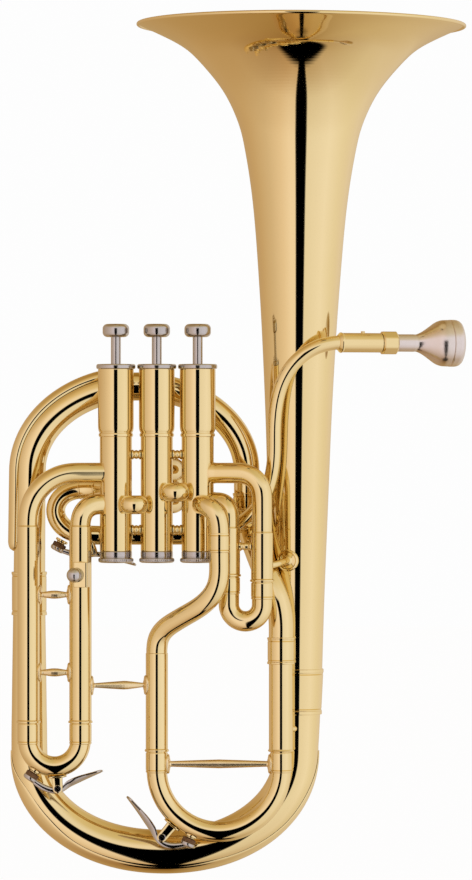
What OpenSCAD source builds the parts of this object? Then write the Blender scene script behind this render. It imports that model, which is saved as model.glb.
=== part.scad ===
// Three-valve baritone horn. Millimetres, +Z up, bell opening upward.
// Origin: middle of the footprint, at the height of the lowest point of the bottom bow.
// The player's side is +Y and the valve face is -Y; the mouthpiece points to +X.

/* [Bell] */
// Diameter over the bell rim
bell_d = 230.8; // [228:0.2:232]
// Height of the rim bead above the lowest point of the horn
bell_top = 594; // [590:1:598]
// Radius of the bead rolled into the rim
bead_r = 1.3; // [1:0.1:1.6]
// Wall of the bell and of the bows
sheet = 0.8; // [0.6:0.1:1]

/* [Valves] */
// Distance between neighbouring valve axes
valve_pitch = 28.4; // [28.2:0.1:29]
// Outer diameter of the lower casing
casing_d = 22.3; // [22:0.1:22.6]
// Outer diameter of the wider upper casing
balluster_d = 24.8; // [24.4:0.1:25.2]
// Wall of the casings
casing_wall = 1.1; // [0.9:0.1:1.2]
// Travel of a valve
stroke = 16; // [14:0.5:16.5]
// Diameter of a finger button
button_d = 18.4; // [17:0.1:20]

/* [Tubing] */
// Outer diameter of the slide bows and of their inner legs
bow_d = 14.2; // [14:0.1:14.3]
// Wall of the slide tubing
tube_wall = 0.6; // [0.4:0.1:0.7]
// Running clearance, on the radius, of every sliding fit
slip = 0.05; // [0.03:0.01:0.08]
// Wall of the outer leg tubes
leg_wall = 0.55; // [0.5:0.05:0.7]
// Outer diameter of the leadpipe at the receiver
leadpipe_d = 9.8; // [9.4:0.1:10.2]

/* [Slides] */
// Distance between the legs of the third valve slide
third_pitch = 36; // [35:0.5:37]
// Distance between the legs of the first valve slide
first_pitch = 23.1; // [22.8:0.1:23.4]
// Distance between the legs of the second valve slide
second_pitch = 22.2; // [22:0.1:22.6]
// Distance between the legs of the main tuning slide
main_pitch = 86.3; // [85.8:0.1:86.8]

/* [Mouthpiece] */
// Diameter over the mouthpiece rim
cup_d = 32.8; // [31:0.2:35]
// Angle of the mouthpiece away from the valve face
mouth_turn = 18; // [16:1:19]

/* [Hidden] */

$fn = 48;
// A cut that must pass a face runs this far past it
past = 0.5;
// Gap left between soldered neighbours, so that each stays its own solid
solder = 0.05;

// --- Bell and main bows ---
bell_foot = [41.4, 0];
bell_tilt = 0.4;
bell_low = 128;
// Half-width of the flare against the distance below the rim
bell_line = [[114.4, 0], [100.6, 6], [84.2, 14.5], [72.3, 24.5], [55.2, 45], [44.6, 66], [38.9, 87],
    [32.5, 129], [27.5, 192], [24.7, 241], [22.8, 283], [21.2, 332], [18.9, 402], [17.5, 465], [15.6, 508]];
bow_left = -145.5;
bow_right = 41.4;
bow_z = 86.5;
bow_drop = 70.6;
bow_r = [15.6, 15.05, 12.5];
// Exponent above 2 that squares the bow's half ellipse slightly
bow_square = 2.1;
branch_top = 196.5;
branch_r = 11.1;
arch_z = 282;
arch_rise = 59.3;
arch_left = -144.8;
arch_right = 6.8;
arch_end_r = 9;
arch_low = 259;
bow_sides = 24;

// --- Valve group ---
valve_x = -27.4;
valve_y = -28;
casing_low = 226.6;
casing_high = 353;
step_z = 307.5;
cap_high = 356.5;
bore_r = casing_d / 2 - casing_wall;
// Radial clearance of the piston in its casing
piston_gap = 0.06;
piston_r = bore_r - piston_gap;
piston_low = 253.5;
piston_high = 334;
stem_d = 6.9;
button_low = 375.2;
button_high = 384.3;
felt_t = 2.2;
seat_z = 222.5;
spring_wire = 0.9;
spring_turns = 7;
spring_r = 7.6;
// Heights of the air passages: lower pair, middle pair, upper
port_low = 259.3;
port_mid = 269.5;
port_high = 280.8;

// --- Slides ---
outer_r = bow_d / 2 + slip + leg_wall;
// Length of the necked top of a leg tube, and how far a bent tube enters it
neck = 2.5;
seat = 1.5;
third_y = -35;
first_y = -40;
first_turn = 6.5;  // the slide's left tube sits further back
main_y = -25.5;
goose_y = -54.2;
goose_x = -12.3;
third_left = -144.6;
third_ring = 107.4;
first_right = 17.3;
first_left = [first_right - first_pitch * cos(first_turn), first_y + first_pitch * sin(first_turn)];
first_ring = [209, 205.4];
main_right = 30.5;
main_left = main_right - main_pitch;
main_ring = 87;
second_x = -45;
second_z = [260.6, 282.8];
second_ring = 20;
ring_t = 1.8;

// --- Leadpipe and mouthpiece ---
receiver_end = [70.5, -31, 371.3];
receiver_l = 35.5;
receiver_d = 13.5;
collar_l = 12.6;
collar_d = 16.6;
cup_bore_r = 12.8;
// Waypoints of the leadpipe's centre line and the radius there
lead_line = [[70.5, -31, 371.3], [59, -33.6, 370], [47, -34.2, 364], [37, -32.8, 354.5], [30.5, -30, 342],
    [27, -27.4, 327], [25.9, -25.2, 310], [25.9, -23.4, 292], [23.8, -21.2, 277], [18.3, -18.8, 262],
    [7.6, -16.9, 248.5], [-8, -12.2, 240], [-27, -8.6, 237.4], [-55, -8.3, 237.2], [-84, -8.3, 237.2],
    [-106, -9.5, 237.4], [-119, -9.6, 240.2], [-126, -9.6, 247.5], [-128, -9.6, 254],
    [-126, -9.6, 261.5], [-119, -9.6, 268], [-108, -10.2, 269.8], [-97, -13, 269.5], [-88.5, -20.5, 269.5]];
lead_r = [leadpipe_d / 2, 6.6];
lead_wide_from = 0.3;
lead_wide_to = 0.62;
// Waypoints of the gooseneck, from valve 1's front to the main tuning slide
goose_line = [[-24.5, -36, 258.8], [-23.1, -45.6, 259], [-18.8, -52, 257.6], [-14, goose_y, 252.5],
    [goose_x, goose_y, 245], [goose_x, goose_y, 236], [goose_x, goose_y, 222], [goose_x, -54.1, 209],
    [-15.4, -52.8, 199], [-24.5, -47.6, 189.2], [-38.5, -38.8, 180.6], [-50, -30.8, 173], [-55.2, -26.4, 165.5],
    [-55.8, -25.5, 158]];
goose_r = 6.7;

// --- Shared functions ---
function mix(a, b, t) = a + (b - a) * t;
function clamp(t, lo, hi) = max(lo, min(hi, t));
function ease(t) = t * t * (3 - 2 * t);
function unit(v) = v / norm(v);
function sgn_pow(v, p) = sign(v) * pow(abs(v), p);

// Catmull-Rom spline through the points p; t runs from 0 to len(p) - 1
function spline(p, t) =
    let (last = len(p) - 1, i = min(floor(t), last - 1), u = t - i,
        a = p[max(i - 1, 0)], b = p[i], c = p[i + 1], d = p[min(i + 2, last)])
    0.5 * ((2 * b) + (c - a) * u + (2 * a - 5 * b + 4 * c - d) * u * u + (3 * b - a - 3 * c + d) * u * u * u);
function splined(p, per) = [for (k = [0 : (len(p) - 1) * per]) spline(p, k / per)];

// Direction of a polyline at point i
function heading(c, i) = unit(c[min(i + 1, len(c) - 1)] - c[max(i - 1, 0)]);

// Point at angle a on a section of radius r. Angle 0 is square to the direction ref: with ref along Y it is
// the outer side of a bend in X and Z.
function section_point(c, i, r, a, ref) =
    let (t = heading(c, i), out = unit(cross(t, ref)), up = cross(out, t))
    c[i] + r * (cos(a) * out + sin(a) * up);

// Faces of a grid of rings, closed around each ring
function skin(rings, sides, start, flip) = [for (i = [0 : rings - 2], j = [0 : sides - 1])
    let (a = start + i * sides + j, b = start + i * sides + (j + 1) % sides,
        q = [a, b, b + sides, a + sides])
    flip ? [q[3], q[2], q[1], q[0]] : q];

// Flat ring of faces between two sections
function annulus(a, b, sides, flip) = [for (j = [0 : sides - 1])
    let (k = (j + 1) % sides, q = [a + j, a + k, b + k, b + j])
    flip ? [q[3], q[2], q[1], q[0]] : q];

// --- Shared modules ---
// Hollow tube along the centre line c with the radii r; ref is a direction that the line never takes
module tapered_tube(c, r, wall, sides, ref = [0, 1, 0]) {
    n = len(c);
    outer = [for (i = [0 : n - 1], j = [0 : sides - 1]) section_point(c, i, r[i], 360 * j / sides, ref)];
    inner = [for (i = [0 : n - 1], j = [0 : sides - 1]) section_point(c, i, r[i] - wall, 360 * j / sides, ref)];
    far = (n - 1) * sides;
    polyhedron(concat(outer, inner), concat(skin(n, sides, 0, false), skin(n, sides, n * sides, true),
        annulus(0, n * sides, sides, true), annulus(far, n * sides + far, sides, false)), convexity = 8);
}

// Strip that hugs the outside of a bend: half-angle w and height h at each point
module outer_strip(c, r, w, h, steps) {
    n = len(c);
    m = 2 * (steps + 1);
    rings = [for (i = [0 : n - 1], k = [0 : m - 1])
        let (top = k <= steps, s = top ? 2 * k / steps - 1 : 1 - 2 * (k - steps - 1) / steps,
            lift = top ? 0.35 + h[i] * sqrt(max(0, 1 - s * s)) : 0.1)
        section_point(c, i, r[i] + lift, s * w[i], [0, 1, 0])];
    start = [for (k = [m - 1 : -1 : 0]) k];
    end = [for (k = [0 : m - 1]) (n - 1) * m + k];
    polyhedron(rings, concat(skin(n, m, 0, false), [start], [end]), convexity = 6);
}

// Places its children with +Z along the direction d at point p; side is the child's +X
module aim(p, d, side) {
    z = unit(d);
    x = unit(side - (side * z) * z);
    y = cross(z, x);
    multmatrix([[x[0], y[0], z[0], p[0]], [x[1], y[1], z[1], p[1]], [x[2], y[2], z[2], p[2]], [0, 0, 0, 1]])
        children();
}

function any_side(d) = abs(unit(d)[0]) > 0.9 ? [0, 1, 0] : [1, 0, 0];

// Round bar from a to b
module rod(a, b, r) {
    aim(a, b - a, any_side(b - a)) cylinder(h = norm(b - a), r = r);
}

// Points along a path through p whose corners are rounded at the radius bend, with steps per corner
function bent_line(p, bend, steps) = concat([p[0]], [for (i = [1 : len(p) - 2])
    let (u = unit(p[i] - p[i - 1]), v = unit(p[i + 1] - p[i]), turn = acos(u * v), cut = bend * tan(turn / 2),
        inward = unit(v - (v * u) * u))
    each [for (k = [0 : steps]) let (a = turn * k / steps)
        p[i] - cut * u + bend * (sin(a) * u + (1 - cos(a)) * inward)]], [p[len(p) - 1]]);

// Tube through the points p, with its corners bent at the radius bend
module bent_tube(p, bend, steps, ref = [0, 1, 0]) {
    line = bent_line(p, bend, steps);
    tapered_tube(line, [for (q = line) bow_d / 2], tube_wall, 20, ref);
}

// Ring of height h around a vertical tube, bore r and outer radius big
module collar(p, h, r, big) {
    translate(p) difference() {
        cylinder(h = h, r = big);
        translate([0, 0, -past]) cylinder(h = h + 2 * past, r = r);
    }
}

// Straight leg tube along -Z from its top p, with a bead at its lower end. Its bore is the slide's fit;
// the top is necked in to hold the end of a bent tube.
module leg_tube(p, h) {
    translate(p) difference() {
        union() {
            translate([0, 0, -h]) cylinder(h = h, r = outer_r);
            translate([0, 0, -h]) cylinder(h = ring_t, r = outer_r + 0.7);
        }
        translate([0, 0, -h - past]) cylinder(h = h + past - neck, r = bow_d / 2 + slip);
        translate([0, 0, -h]) cylinder(h = h + past, r = bow_d / 2 - tube_wall + 0.1);
    }
}

// Slide in a vertical plane: two inner legs, a half-round bow and a sleeve on each leg.
// x holds the leg positions, top the upper ends of the legs, ring the seats of the sleeves.
module slide_u(x, y, top, ring, sleeve, bow_at) {
    pitch = x[1] - x[0];
    difference() {
        union() {
            for (i = [0, 1]) {
                translate([x[i], y, bow_at]) cylinder(h = top[i] - bow_at, r = bow_d / 2);
                translate([x[i], y, ring[i] - sleeve]) cylinder(h = sleeve - 0.2, r = outer_r);
            }
            translate([(x[0] + x[1]) / 2, y, bow_at]) rotate([-90, 0, 0]) rotate_extrude(angle = 180)
                translate([pitch / 2, 0]) circle(r = bow_d / 2);
        }
        for (i = [0, 1])
            translate([x[i], y, bow_at]) cylinder(h = top[i] - bow_at + past, r = bow_d / 2 - tube_wall);
        translate([(x[0] + x[1]) / 2, y, bow_at]) rotate([-90, 0, 0]) rotate_extrude(angle = 180)
            translate([pitch / 2, 0]) circle(r = bow_d / 2 - tube_wall);
    }
}

function valve_at(i) = [valve_x - (i - 1) * valve_pitch, valve_y];

// Room taken by casing i, which the tubes soldered to it are coped around
module casing_room(i) {
    translate([valve_at(i)[0], valve_at(i)[1], casing_low]) cylinder(h = 130, r = casing_d / 2 + solder);
}

// --- Centre lines of the two bows ---
function bow_point(u) = let (a = 180 * u, mid = (bow_left + bow_right) / 2, half = (bow_right - bow_left) / 2)
    [mid + half * sgn_pow(cos(a), 2 / bow_square), 0, bow_z - bow_drop * pow(abs(sin(a)), 2 / bow_square)];
bow_steps = 26;
bow_line = concat([[bell_foot[0] + 0.25, 0, bell_low - 0.5], [bell_foot[0] + 0.1, 0, 106]],
    [for (k = [0 : bow_steps]) bow_point(k / bow_steps)],
    [for (z = [112, 140, 168, branch_top - solder]) [bow_left, 0, z]]);
function bow_radius(u) = bow_r[0] - (bow_r[0] - bow_r[2]) * pow(u, 2.5);
bow_radii = concat([17.2, 16.5], [for (k = [0 : bow_steps]) bow_radius(k / bow_steps)], [12.2, 11.9, 11.5, branch_r]);

arch_steps = 24;
function arch_depth(x) = mix(0, 2, clamp((x - arch_left) / (arch_right - arch_left), 0, 1)) +
    2 * pow(sin(180 * clamp((x - arch_left) / (arch_right - arch_left), 0, 1)), 2);
function arch_point(u) = let (a = 180 - 180 * u, half = (arch_right - arch_left) / 2,
        x = (arch_left + arch_right) / 2 + half * cos(a))
    [x, arch_depth(x), arch_z + arch_rise * sin(a)];
arch_line = concat([for (z = [branch_top + solder, 218, 240, 262]) [mix(bow_left, arch_left, (z - 196) / 86), 0, z]],
    [for (k = [0 : arch_steps]) arch_point(k / arch_steps)], [[arch_right, 2, 271], [arch_right, 2, arch_low]]);
arch_radii = concat([11.1, 10.95, 10.8, 10.75], [for (k = [0 : arch_steps]) mix(10.7, arch_end_r, k / arch_steps)],
    [arch_end_r, arch_end_r]);

// --- Bell ---
module bell() {
    outer = splined(bell_line, 3);
    shape = [for (p = outer) if (p[1] <= bell_top - bell_low + 3) p];
    n = len(shape);
    inside = [for (i = [0 : n - 1]) let (t = heading(shape, i)) shape[i] + sheet * [-t[1], t[0]] * sign(t[1])];
    color("#e4c67e") translate([bell_foot[0], 0, 0]) translate([0, 0, bow_z]) rotate([0, bell_tilt, 0])
        translate([0, 0, bell_top - bow_z]) union() {
            difference() {
                rotate_extrude() polygon(concat([for (p = shape) [p[0], -p[1]]],
                    [for (i = [n - 1 : -1 : 0]) [inside[i][0], -inside[i][1]]]));
                translate([0, 0, bell_low - bell_top - 10]) cylinder(h = 10, r = 40);
            }
            rotate_extrude() translate([bell_d / 2 - bead_r, 0]) circle(r = bead_r);
        }
}

module bell_ferrule() {
    color("#e4c67e") translate([bell_foot[0], 0, bow_z]) rotate([0, bell_tilt, 0]) translate([0, 0, 112 - bow_z])
        difference() {
            union() {
                cylinder(h = 31.7, r1 = 17.45, r2 = 18.45);
                for (z = [0, 28.9])
                    translate([0, 0, z]) cylinder(h = 2.8, r = z == 0 ? 17.75 : 18.65);
            }
            translate([0, 0, -past]) cylinder(h = 32.7, r1 = 16.85, r2 = 17.9);
        }
}

module bottom_bow() {
    color("#e4c67e") tapered_tube(bow_line, bow_radii, sheet, bow_sides);
}

// Thin wear plate around the outside of the bottom bow, tapering to a tip at each end
module bow_guard() {
    angles = [[8, 0], [30, 0], [38, 0], [46, 0], [52, 0], [54, 0], [56, 0], [60, 0], [70, 0], [60, 0], [9, 0]];
    span = [for (k = [0 : bow_steps]) k / bow_steps];
    color("#e4c67e") outer_strip([for (u = span) bow_point(u)], [for (u = span) bow_radius(u) + 0.1],
        [for (u = span) max(6, spline(angles, u * 10)[0])], [for (u = span) 0.4], 8);
}

module branch_ferrule() {
    color("#e4c67e") translate([bow_left, 0, 181.2]) difference() {
        union() {
            cylinder(h = 30.3, r = 12.1);
            for (z = [0, 28.3])
                translate([0, 0, z]) cylinder(h = 2, r = 12.4);
        }
        translate([0, 0, -past]) cylinder(h = 31.3, r = 11.5);
    }
}

module top_bow() {
    color("#e4c67e") tapered_tube(arch_line, arch_radii, sheet, bow_sides);
}

// Half-round guard along the outside of the top bow
module top_bow_guard() {
    low = [for (z = [226, 232, 246, 264]) [mix(bow_left, arch_left, (z - 196) / 86), 0, z]];
    high = [for (k = [0 : 10]) arch_point(k / 24)];
    line = concat(low, high);
    n = len(line);
    color("#e4c67e") outer_strip(line, [for (i = [0 : n - 1]) mix(11, 10.2, i / n)],
        [for (i = [0 : n - 1]) i == 0 || i == n - 1 ? 24 : 40], [for (i = [0 : n - 1]) i == 0 ? 1.2 : i == n - 1 ? 1.5 : 4], 8);
}

// From the top bow's right leg down in front of the bell to the main tuning slide
down_line = concat([[arch_right, 2, arch_low - 2 * solder]], splined([[arch_right, 2, 254], [7.6, 1, 247.5],
    [10, -3.6, 237.5], [14.6, -12, 225], [19.5, -20.5, 212], [24, -24.3, 202], [28, -26.2, 193],
    [30.6, -26.6, 184], [31, -26.2, 176], [main_right, main_y, 168.5]], 2), [[main_right, main_y, 158.1]]);

module down_tube() {
    n = len(down_line) - 1;
    color("#e4c67e") tapered_tube(down_line, [for (k = [0 : n]) mix(9, 8.6, k / n)], sheet, 20);
}

module down_tube_ferrule() {
    color("#e4c67e") collar([arch_right, 2, 254.5], 12, 9.25, 9.9);
}

module tuning_ferrule() {
    color("#e4c67e") difference() {
        union() {
            translate([main_right, main_y, 148]) cylinder(h = 18.5, r = 9.3);
            for (z = [148, 164.7])
                translate([main_right, main_y, z]) cylinder(h = 1.8, r = 9.6);
        }
        translate([main_right, main_y, 157.8]) cylinder(h = 20, r = 8.7);
        translate([main_right, main_y, 140]) cylinder(h = 20, r = 8.5);
    }
}

// --- Main tuning slide ---
module tuning_outer_tubes() {
    color("#e4c67e") {
        leg_tube([main_left, main_y, 156.5], 156.5 - main_ring);
        difference() {
            union() {
                translate([main_right, main_y, main_ring]) cylinder(h = 157.7 - main_ring, r = 8.4);
                translate([main_right, main_y, main_ring]) cylinder(h = ring_t, r = 9.1);
            }
            translate([main_right, main_y, main_ring - past]) cylinder(h = 60, r = bow_d / 2 + slip);
            translate([main_right, main_y, main_ring + 59]) cylinder(h = 20, r = 7.6);
        }
    }
}

module tuning_slide() {
    bow_at = 74.6;
    color("#e4c67e") difference() {
        slide_u([main_left, main_right], main_y, [142, 142], [main_ring, main_ring], 14.5, bow_at);
        translate([(main_left + main_right) / 2, main_y, bow_at]) rotate([0, -main_key[3], 0])
            translate([0, 0, -main_pitch / 2 - 12]) cylinder(h = 10, r = 1.6);
    }
    color("#e4c67e") key_saddle(main_key);
}

// Turned cross rod with a foot on each leg
module turned_rod(a, b, thin, thick) {
    d = unit(b - a);
    span = norm(b - a);
    aim(a, d, [0, 0, 1]) rotate_extrude() polygon([[0, 0], [thin * 1.9, 0], [thin * 1.9, 0.7], [thin, 1.7],
        [thin * 0.95, 4], [thick, span / 2 - 2], [thick, span / 2 + 2], [thin * 0.95, span - 4],
        [thin, span - 1.7], [thin * 1.9, span - 0.7], [thin * 1.9, span], [0, span]]);
}

module tuning_slide_brace() {
    z = 78.6;
    color("#e4c67e") difference() {
        turned_rod([main_left + 4, main_y, z], [main_right - 4, main_y, z], 1.9, 2.9);
        for (x = [main_left, main_right])
            translate([x, main_y, z - 20]) cylinder(h = 40, r = outer_r + solder);
    }
}

// --- Valve slides ---
module third_outer_tubes() {
    top = 244.7;
    x = [third_left, third_left + third_pitch];
    color("#e4c67e") difference() {
        union() {
            bent_tube([[-88, -28.6, port_high], [x[0], third_y, port_high], [x[0], third_y, top - seat]], 32, 9);
            bent_tube([[-89, -27.5, port_low], [x[1], third_y, port_low], [x[1], third_y, top - seat]], 12, 8);
            for (i = [0, 1])
                leg_tube([x[i], third_y, top], top - third_ring);
        }
        casing_room(3);
    }
}

module third_slide() {
    x = [third_left, third_left + third_pitch];
    color("#e4c67e") difference() {
        slide_u(x, third_y, [224, 224], [third_ring, third_ring], 14.5, 95.3);
        translate([(x[0] + x[1]) / 2, third_y, 95.3]) rotate([0, -third_key[3], 0])
            translate([0, 0, -third_pitch / 2 - 12]) cylinder(h = 10, r = 1.6);
    }
    color("#e4c67e") key_saddle(third_key);
}

module first_outer_tubes() {
    x = [first_left[0], first_right];
    y = [first_left[1], first_y];
    top = [243.7, 240.4];
    color("#e4c67e") difference() {
        union() {
            bent_tube([[-24, -31, port_high], [x[1], y[1], port_high], [x[1], y[1], top[1] - seat]], 16, 7);
            bent_tube([[-19, -24, port_low + 1], [x[0], y[0], port_low + 1], [x[0], y[0], top[0] - seat]], 8.5, 8);
            for (i = [0, 1])
                leg_tube([x[i], y[i], top[i]], top[i] - first_ring[i]);
        }
        casing_room(1);
    }
}

module first_slide() {
    color("#e4c67e") translate([first_right, first_y, 0]) rotate([0, 0, -first_turn])
        slide_u([-first_pitch, 0], 0, [238, 236], first_ring, 12, 189.7);
}

module second_outer_tubes() {
    color("#e4c67e") difference() {
        for (z = second_z) {
            bent_tube([[-52, -22.6, z], [second_x, -12, z], [second_x, -2 + seat, z]], 9, 3, [0, 0, 1]);
            translate([second_x, -2, z]) rotate([90, 0, 0]) leg_tube([0, 0, 0], second_ring + 2);
        }
        casing_room(2);
    }
}

module second_slide() {
    mid = (second_z[0] + second_z[1]) / 2;
    half = (second_z[1] - second_z[0]) / 2;
    color("#e4c67e") translate([second_x, 0, mid]) rotate([90, 0, 0]) rotate([0, 0, 90])
        slide_u([-half, half], 0, [-1.2, -1.2], [-second_ring, -second_ring], 6, -second_ring - 8);
}

// --- Gooseneck, leadpipe, receiver ---
module gooseneck() {
    line = splined(goose_line, 3);
    color("#e4c67e") {
        difference() {
            tapered_tube(line, [for (p = line) goose_r], tube_wall, 16, [1, 0, 0]);
            casing_room(1);
        }
        collar([goose_x, goose_y, 226], 13.5, goose_r - 0.35, goose_r + 0.8);
    }
}

module leadpipe() {
    line = splined(lead_line, 2);
    n = len(line) - 1;
    color("#e4c67e") difference() {
        tapered_tube(line, [for (i = [0 : n]) mix(lead_r[0], lead_r[1],
            ease(clamp((i / n - lead_wide_from) / (lead_wide_to - lead_wide_from), 0, 1)))], tube_wall, 16);
        casing_room(3);
        aim_receiver() cylinder(h = receiver_l, r = receiver_d / 2 + solder);
    }
}

module aim_receiver() {
    aim(receiver_end, [cos(mouth_turn), sin(mouth_turn), 0], [0, 0, 1]) children();
}

module mouthpiece_receiver() {
    full = receiver_l + collar_l - 4;
    color("#e4c67e") aim_receiver() difference() {
        union() {
            cylinder(h = receiver_l, r = receiver_d / 2);
            cylinder(h = 1.5, r = receiver_d / 2 + 0.4);
            translate([0, 0, full - collar_l]) cylinder(h = collar_l, r = collar_d / 2, $fn = 8);
            translate([0, 0, full - 1.6]) cylinder(h = 1.6, r = collar_d / 2 - 0.2);
            rotate([0, 90, 0]) translate([-receiver_l / 2, 0, 0]) cylinder(h = receiver_d / 2 + 1.4, r = 1.4);
        }
        translate([0, 0, -past]) cylinder(h = receiver_l, r = 4);
        translate([0, 0, full - 26]) cylinder(h = 26 + past, r1 = 5.3, r2 = 6.15);
    }
}

mouth_seat = receiver_l + collar_l - 4 - 24;
module mouthpiece() {
    tip = 155.1;
    length = (tip - receiver_end[0]) / cos(mouth_turn) - mouth_seat;
    color("#c9c6c8") aim_receiver() translate([0, 0, mouth_seat]) difference() {
        rotate_extrude() polygon(concat([[2.6, 0], [5.25, 0], [6.05, 24.2], [6.1, 37.5]],
            [[7, length - 29], [11.6, length - 21.6], [15, length - 16.7], [cup_d / 2 - 0.2, length - 9.5],
                [cup_d / 2, length - 8.6], [cup_d / 2, length - 3.2], [cup_d / 2 - 0.8, length - 1],
                [cup_d / 2 - 2.2, length], [2.6, length]]));
        translate([0, 0, length - 17]) cylinder(h = 17 + past, r1 = 3, r2 = cup_bore_r);
    }
}

// --- Braces ---
module third_slide_braces() {
    color("#e4c67e") for (z = [142.6, 196.5])
        difference() {
            turned_rod([third_left + 5, third_y, z], [third_left + third_pitch - 5, third_y, z], 2.2, 2.6);
            for (x = [third_left, third_left + third_pitch])
                translate([x, third_y, z - 20]) cylinder(h = 40, r = outer_r + solder);
        }
}

module cross_brace() {
    z = 133.5;
    color("#e4c67e") difference() {
        turned_rod([third_left + third_pitch + 5, third_y, z], [main_left - 5, main_y, z], 2, 2.9);
        translate([third_left + third_pitch, third_y, z - 20]) cylinder(h = 40, r = outer_r + solder);
        translate([main_left, main_y, z - 20]) cylinder(h = 40, r = outer_r + solder);
    }
}

// Rod from the first slide to the bell, and the short rod between the first slide's legs
module bell_brace() {
    foot = [34.5, -18.6, 219];
    color("#e4c67e") difference() {
        union() {
            rod([21, first_y + 2, 217], foot + [0.8, 1.6, 0], 2.4);
            rod(foot, foot + [0.9, 2.4, 0], 8);
            rod([first_left[0] + 5, first_left[1] - 0.6, 230], [first_right - 5, first_y + 0.6, 230], 2.3);
        }
        translate([42.2, 0, 190]) cylinder(h = 60, r = 20.5);
        for (at = [first_left, [first_right, first_y]])
            translate([at[0], at[1], 190]) cylinder(h = 60, r = outer_r + solder);
    }
}

module casing_braces() {
    color("#e4c67e") for (i = [1, 2], z = [293.6, 241.5])
        difference() {
            rod([valve_at(i)[0], valve_y, z], [valve_at(i + 1)[0], valve_y, z], 3.4);
            for (k = [i, i + 1])
                casing_room(k);
            translate([(valve_at(i)[0] + valve_at(i + 1)[0]) / 2, valve_y, z]) rotate([0, 90, 0])
                rotate_extrude() translate([4.4, 0]) circle(r = 1.5);
        }
}

// Short crossover tube in front of two neighbouring casings, with an arm back to each
module knuckle(x, z, width, r) {
    y = valve_y - casing_d / 2 - 3.2;
    difference() {
        knuckle_core(x, y, z, width, r, 0);
        knuckle_core(x, y, z, width - 2 * tube_wall, r - tube_wall, 1);
    }
}

module knuckle_core(x, y, z, width, r, more) {
    translate([x - width / 2, y, z]) rotate([0, 90, 0]) cylinder(h = width, r = r);
    for (s = [-1, 1])
        translate([x + s * (width / 2 - r + 0.2), y, z]) rotate([-90, 0, 0]) cylinder(h = 9 + more, r = r - 0.2);
}

module valve_knuckles() {
    color("#e4c67e") difference() {
        union() {
            knuckle(-71.2, 258.9, 19.8, 6.4);
            knuckle(-42.9, 267.6, 19.8, 6.6);
        }
        for (i = [1, 2, 3])
            casing_room(i);
    }
}

// --- Valves ---
// Cross bores of one casing or piston at the height z, turned to the angle a
module cross_bore(z, a, r) {
    translate([0, 0, z]) rotate([0, 0, a]) rotate([0, 90, 0]) translate([0, 0, -14]) cylinder(h = 28, r = r);
}

module half_bore(z, a, r) {
    translate([0, 0, z]) rotate([0, 0, a]) rotate([0, 90, 0]) cylinder(h = 14, r = r);
}

module valve_casing(i) {
    port_r = 5.9;
    color("#e4c67e") translate([valve_at(i)[0], valve_y, 0]) difference() {
        union() {
            translate([0, 0, casing_low]) cylinder(h = casing_high - casing_low, r = casing_d / 2);
            translate([0, 0, step_z + 1.5]) cylinder(h = casing_high - step_z - 1.5, r = balluster_d / 2);
            translate([0, 0, step_z - 1.3]) cylinder(h = 2.4, r = casing_d / 2 + 0.8);
        }
        translate([0, 0, casing_low - past]) cylinder(h = 130, r = bore_r);
        half_bore(port_high, i == 3 ? 180 : i == 2 ? 56 : -10, port_r);
        half_bore(i == 2 ? 260.6 : port_low, i == 3 ? 180 : i == 2 ? 56 : 10, port_r);
        half_bore(i == 3 ? port_mid : i == 2 ? 258.9 : 267.6, i == 3 ? 110 : i == 2 ? -128 : -118, port_r);
    }
}

module top_cap(i) {
    color("#bdb9bd") translate([valve_at(i)[0], valve_y, casing_high + solder]) difference() {
        union() {
            cylinder(h = cap_high - casing_high - 0.9, r = 13.6);
            translate([0, 0, cap_high - casing_high - 0.9]) cylinder(h = 0.9 - solder, r1 = 13.6, r2 = 12.6);
            translate([0, 0, -5]) cylinder(h = 6, r = bore_r - 0.1);
        }
        translate([0, 0, -6]) cylinder(h = 5, r = bore_r - 1.2);
        translate([0, 0, -6]) cylinder(h = 20, r = stem_d / 2 + 0.3);
    }
}

module bottom_cap(i) {
    color("#bdb9bd") translate([valve_at(i)[0], valve_y, 0]) difference() {
        union() {
            translate([0, 0, 220.2]) cylinder(h = casing_low - 220.2 - solder, r = 12.5);
            translate([0, 0, 218.4]) cylinder(h = 1.8, r1 = 10.6, r2 = 12.5);
            translate([0, 0, casing_low - 1]) cylinder(h = 5, r = bore_r - 0.1);
        }
        translate([0, 0, seat_z]) cylinder(h = 20, r = bore_r - 1.2);
        translate([0, 0, 218]) cylinder(h = 5, r = 2.2);
    }
}

module piston(i) {
    color("#c9c6c8") translate([valve_at(i)[0], valve_y, 0]) difference() {
        translate([0, 0, piston_low]) cylinder(h = piston_high - piston_low, r = piston_r);
        translate([0, 0, 295]) cylinder(h = 36, r = piston_r - 1);
        translate([0, 0, piston_high - 5]) cylinder(h = 6, r = 2);
        cross_bore(262.4, 30, 5);
        cross_bore(275, 100, 5);
        cross_bore(287.5, 165, 5);
    }
}

module valve_stem(i) {
    color("#bdb9bd") translate([valve_at(i)[0], valve_y, 0]) {
        translate([0, 0, piston_high + solder]) cylinder(h = button_low - piston_high - 2 * solder, r = stem_d / 2);
        translate([0, 0, piston_high - 4]) cylinder(h = 4.2, r = 1.9);
    }
}

module finger_button(i) {
    color("#bdb9bd") translate([valve_at(i)[0], valve_y, button_low]) difference() {
        union() {
            cylinder(h = 2.4, r1 = 6.8, r2 = button_d / 2);
            translate([0, 0, 2.4]) cylinder(h = 4.3, r = button_d / 2);
            translate([0, 0, 6.7]) cylinder(h = button_high - button_low - 6.7, r1 = button_d / 2,
                r2 = button_d / 2 - 2);
        }
        translate([0, 0, 34.3]) sphere(r = 26);
        translate([0, 0, -past]) difference() {
            cylinder(h = felt_t + 0.2 + past, r = 5.2);
            cylinder(h = felt_t + 1, r = stem_d / 2 + 0.05);
        }
    }
}

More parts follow.
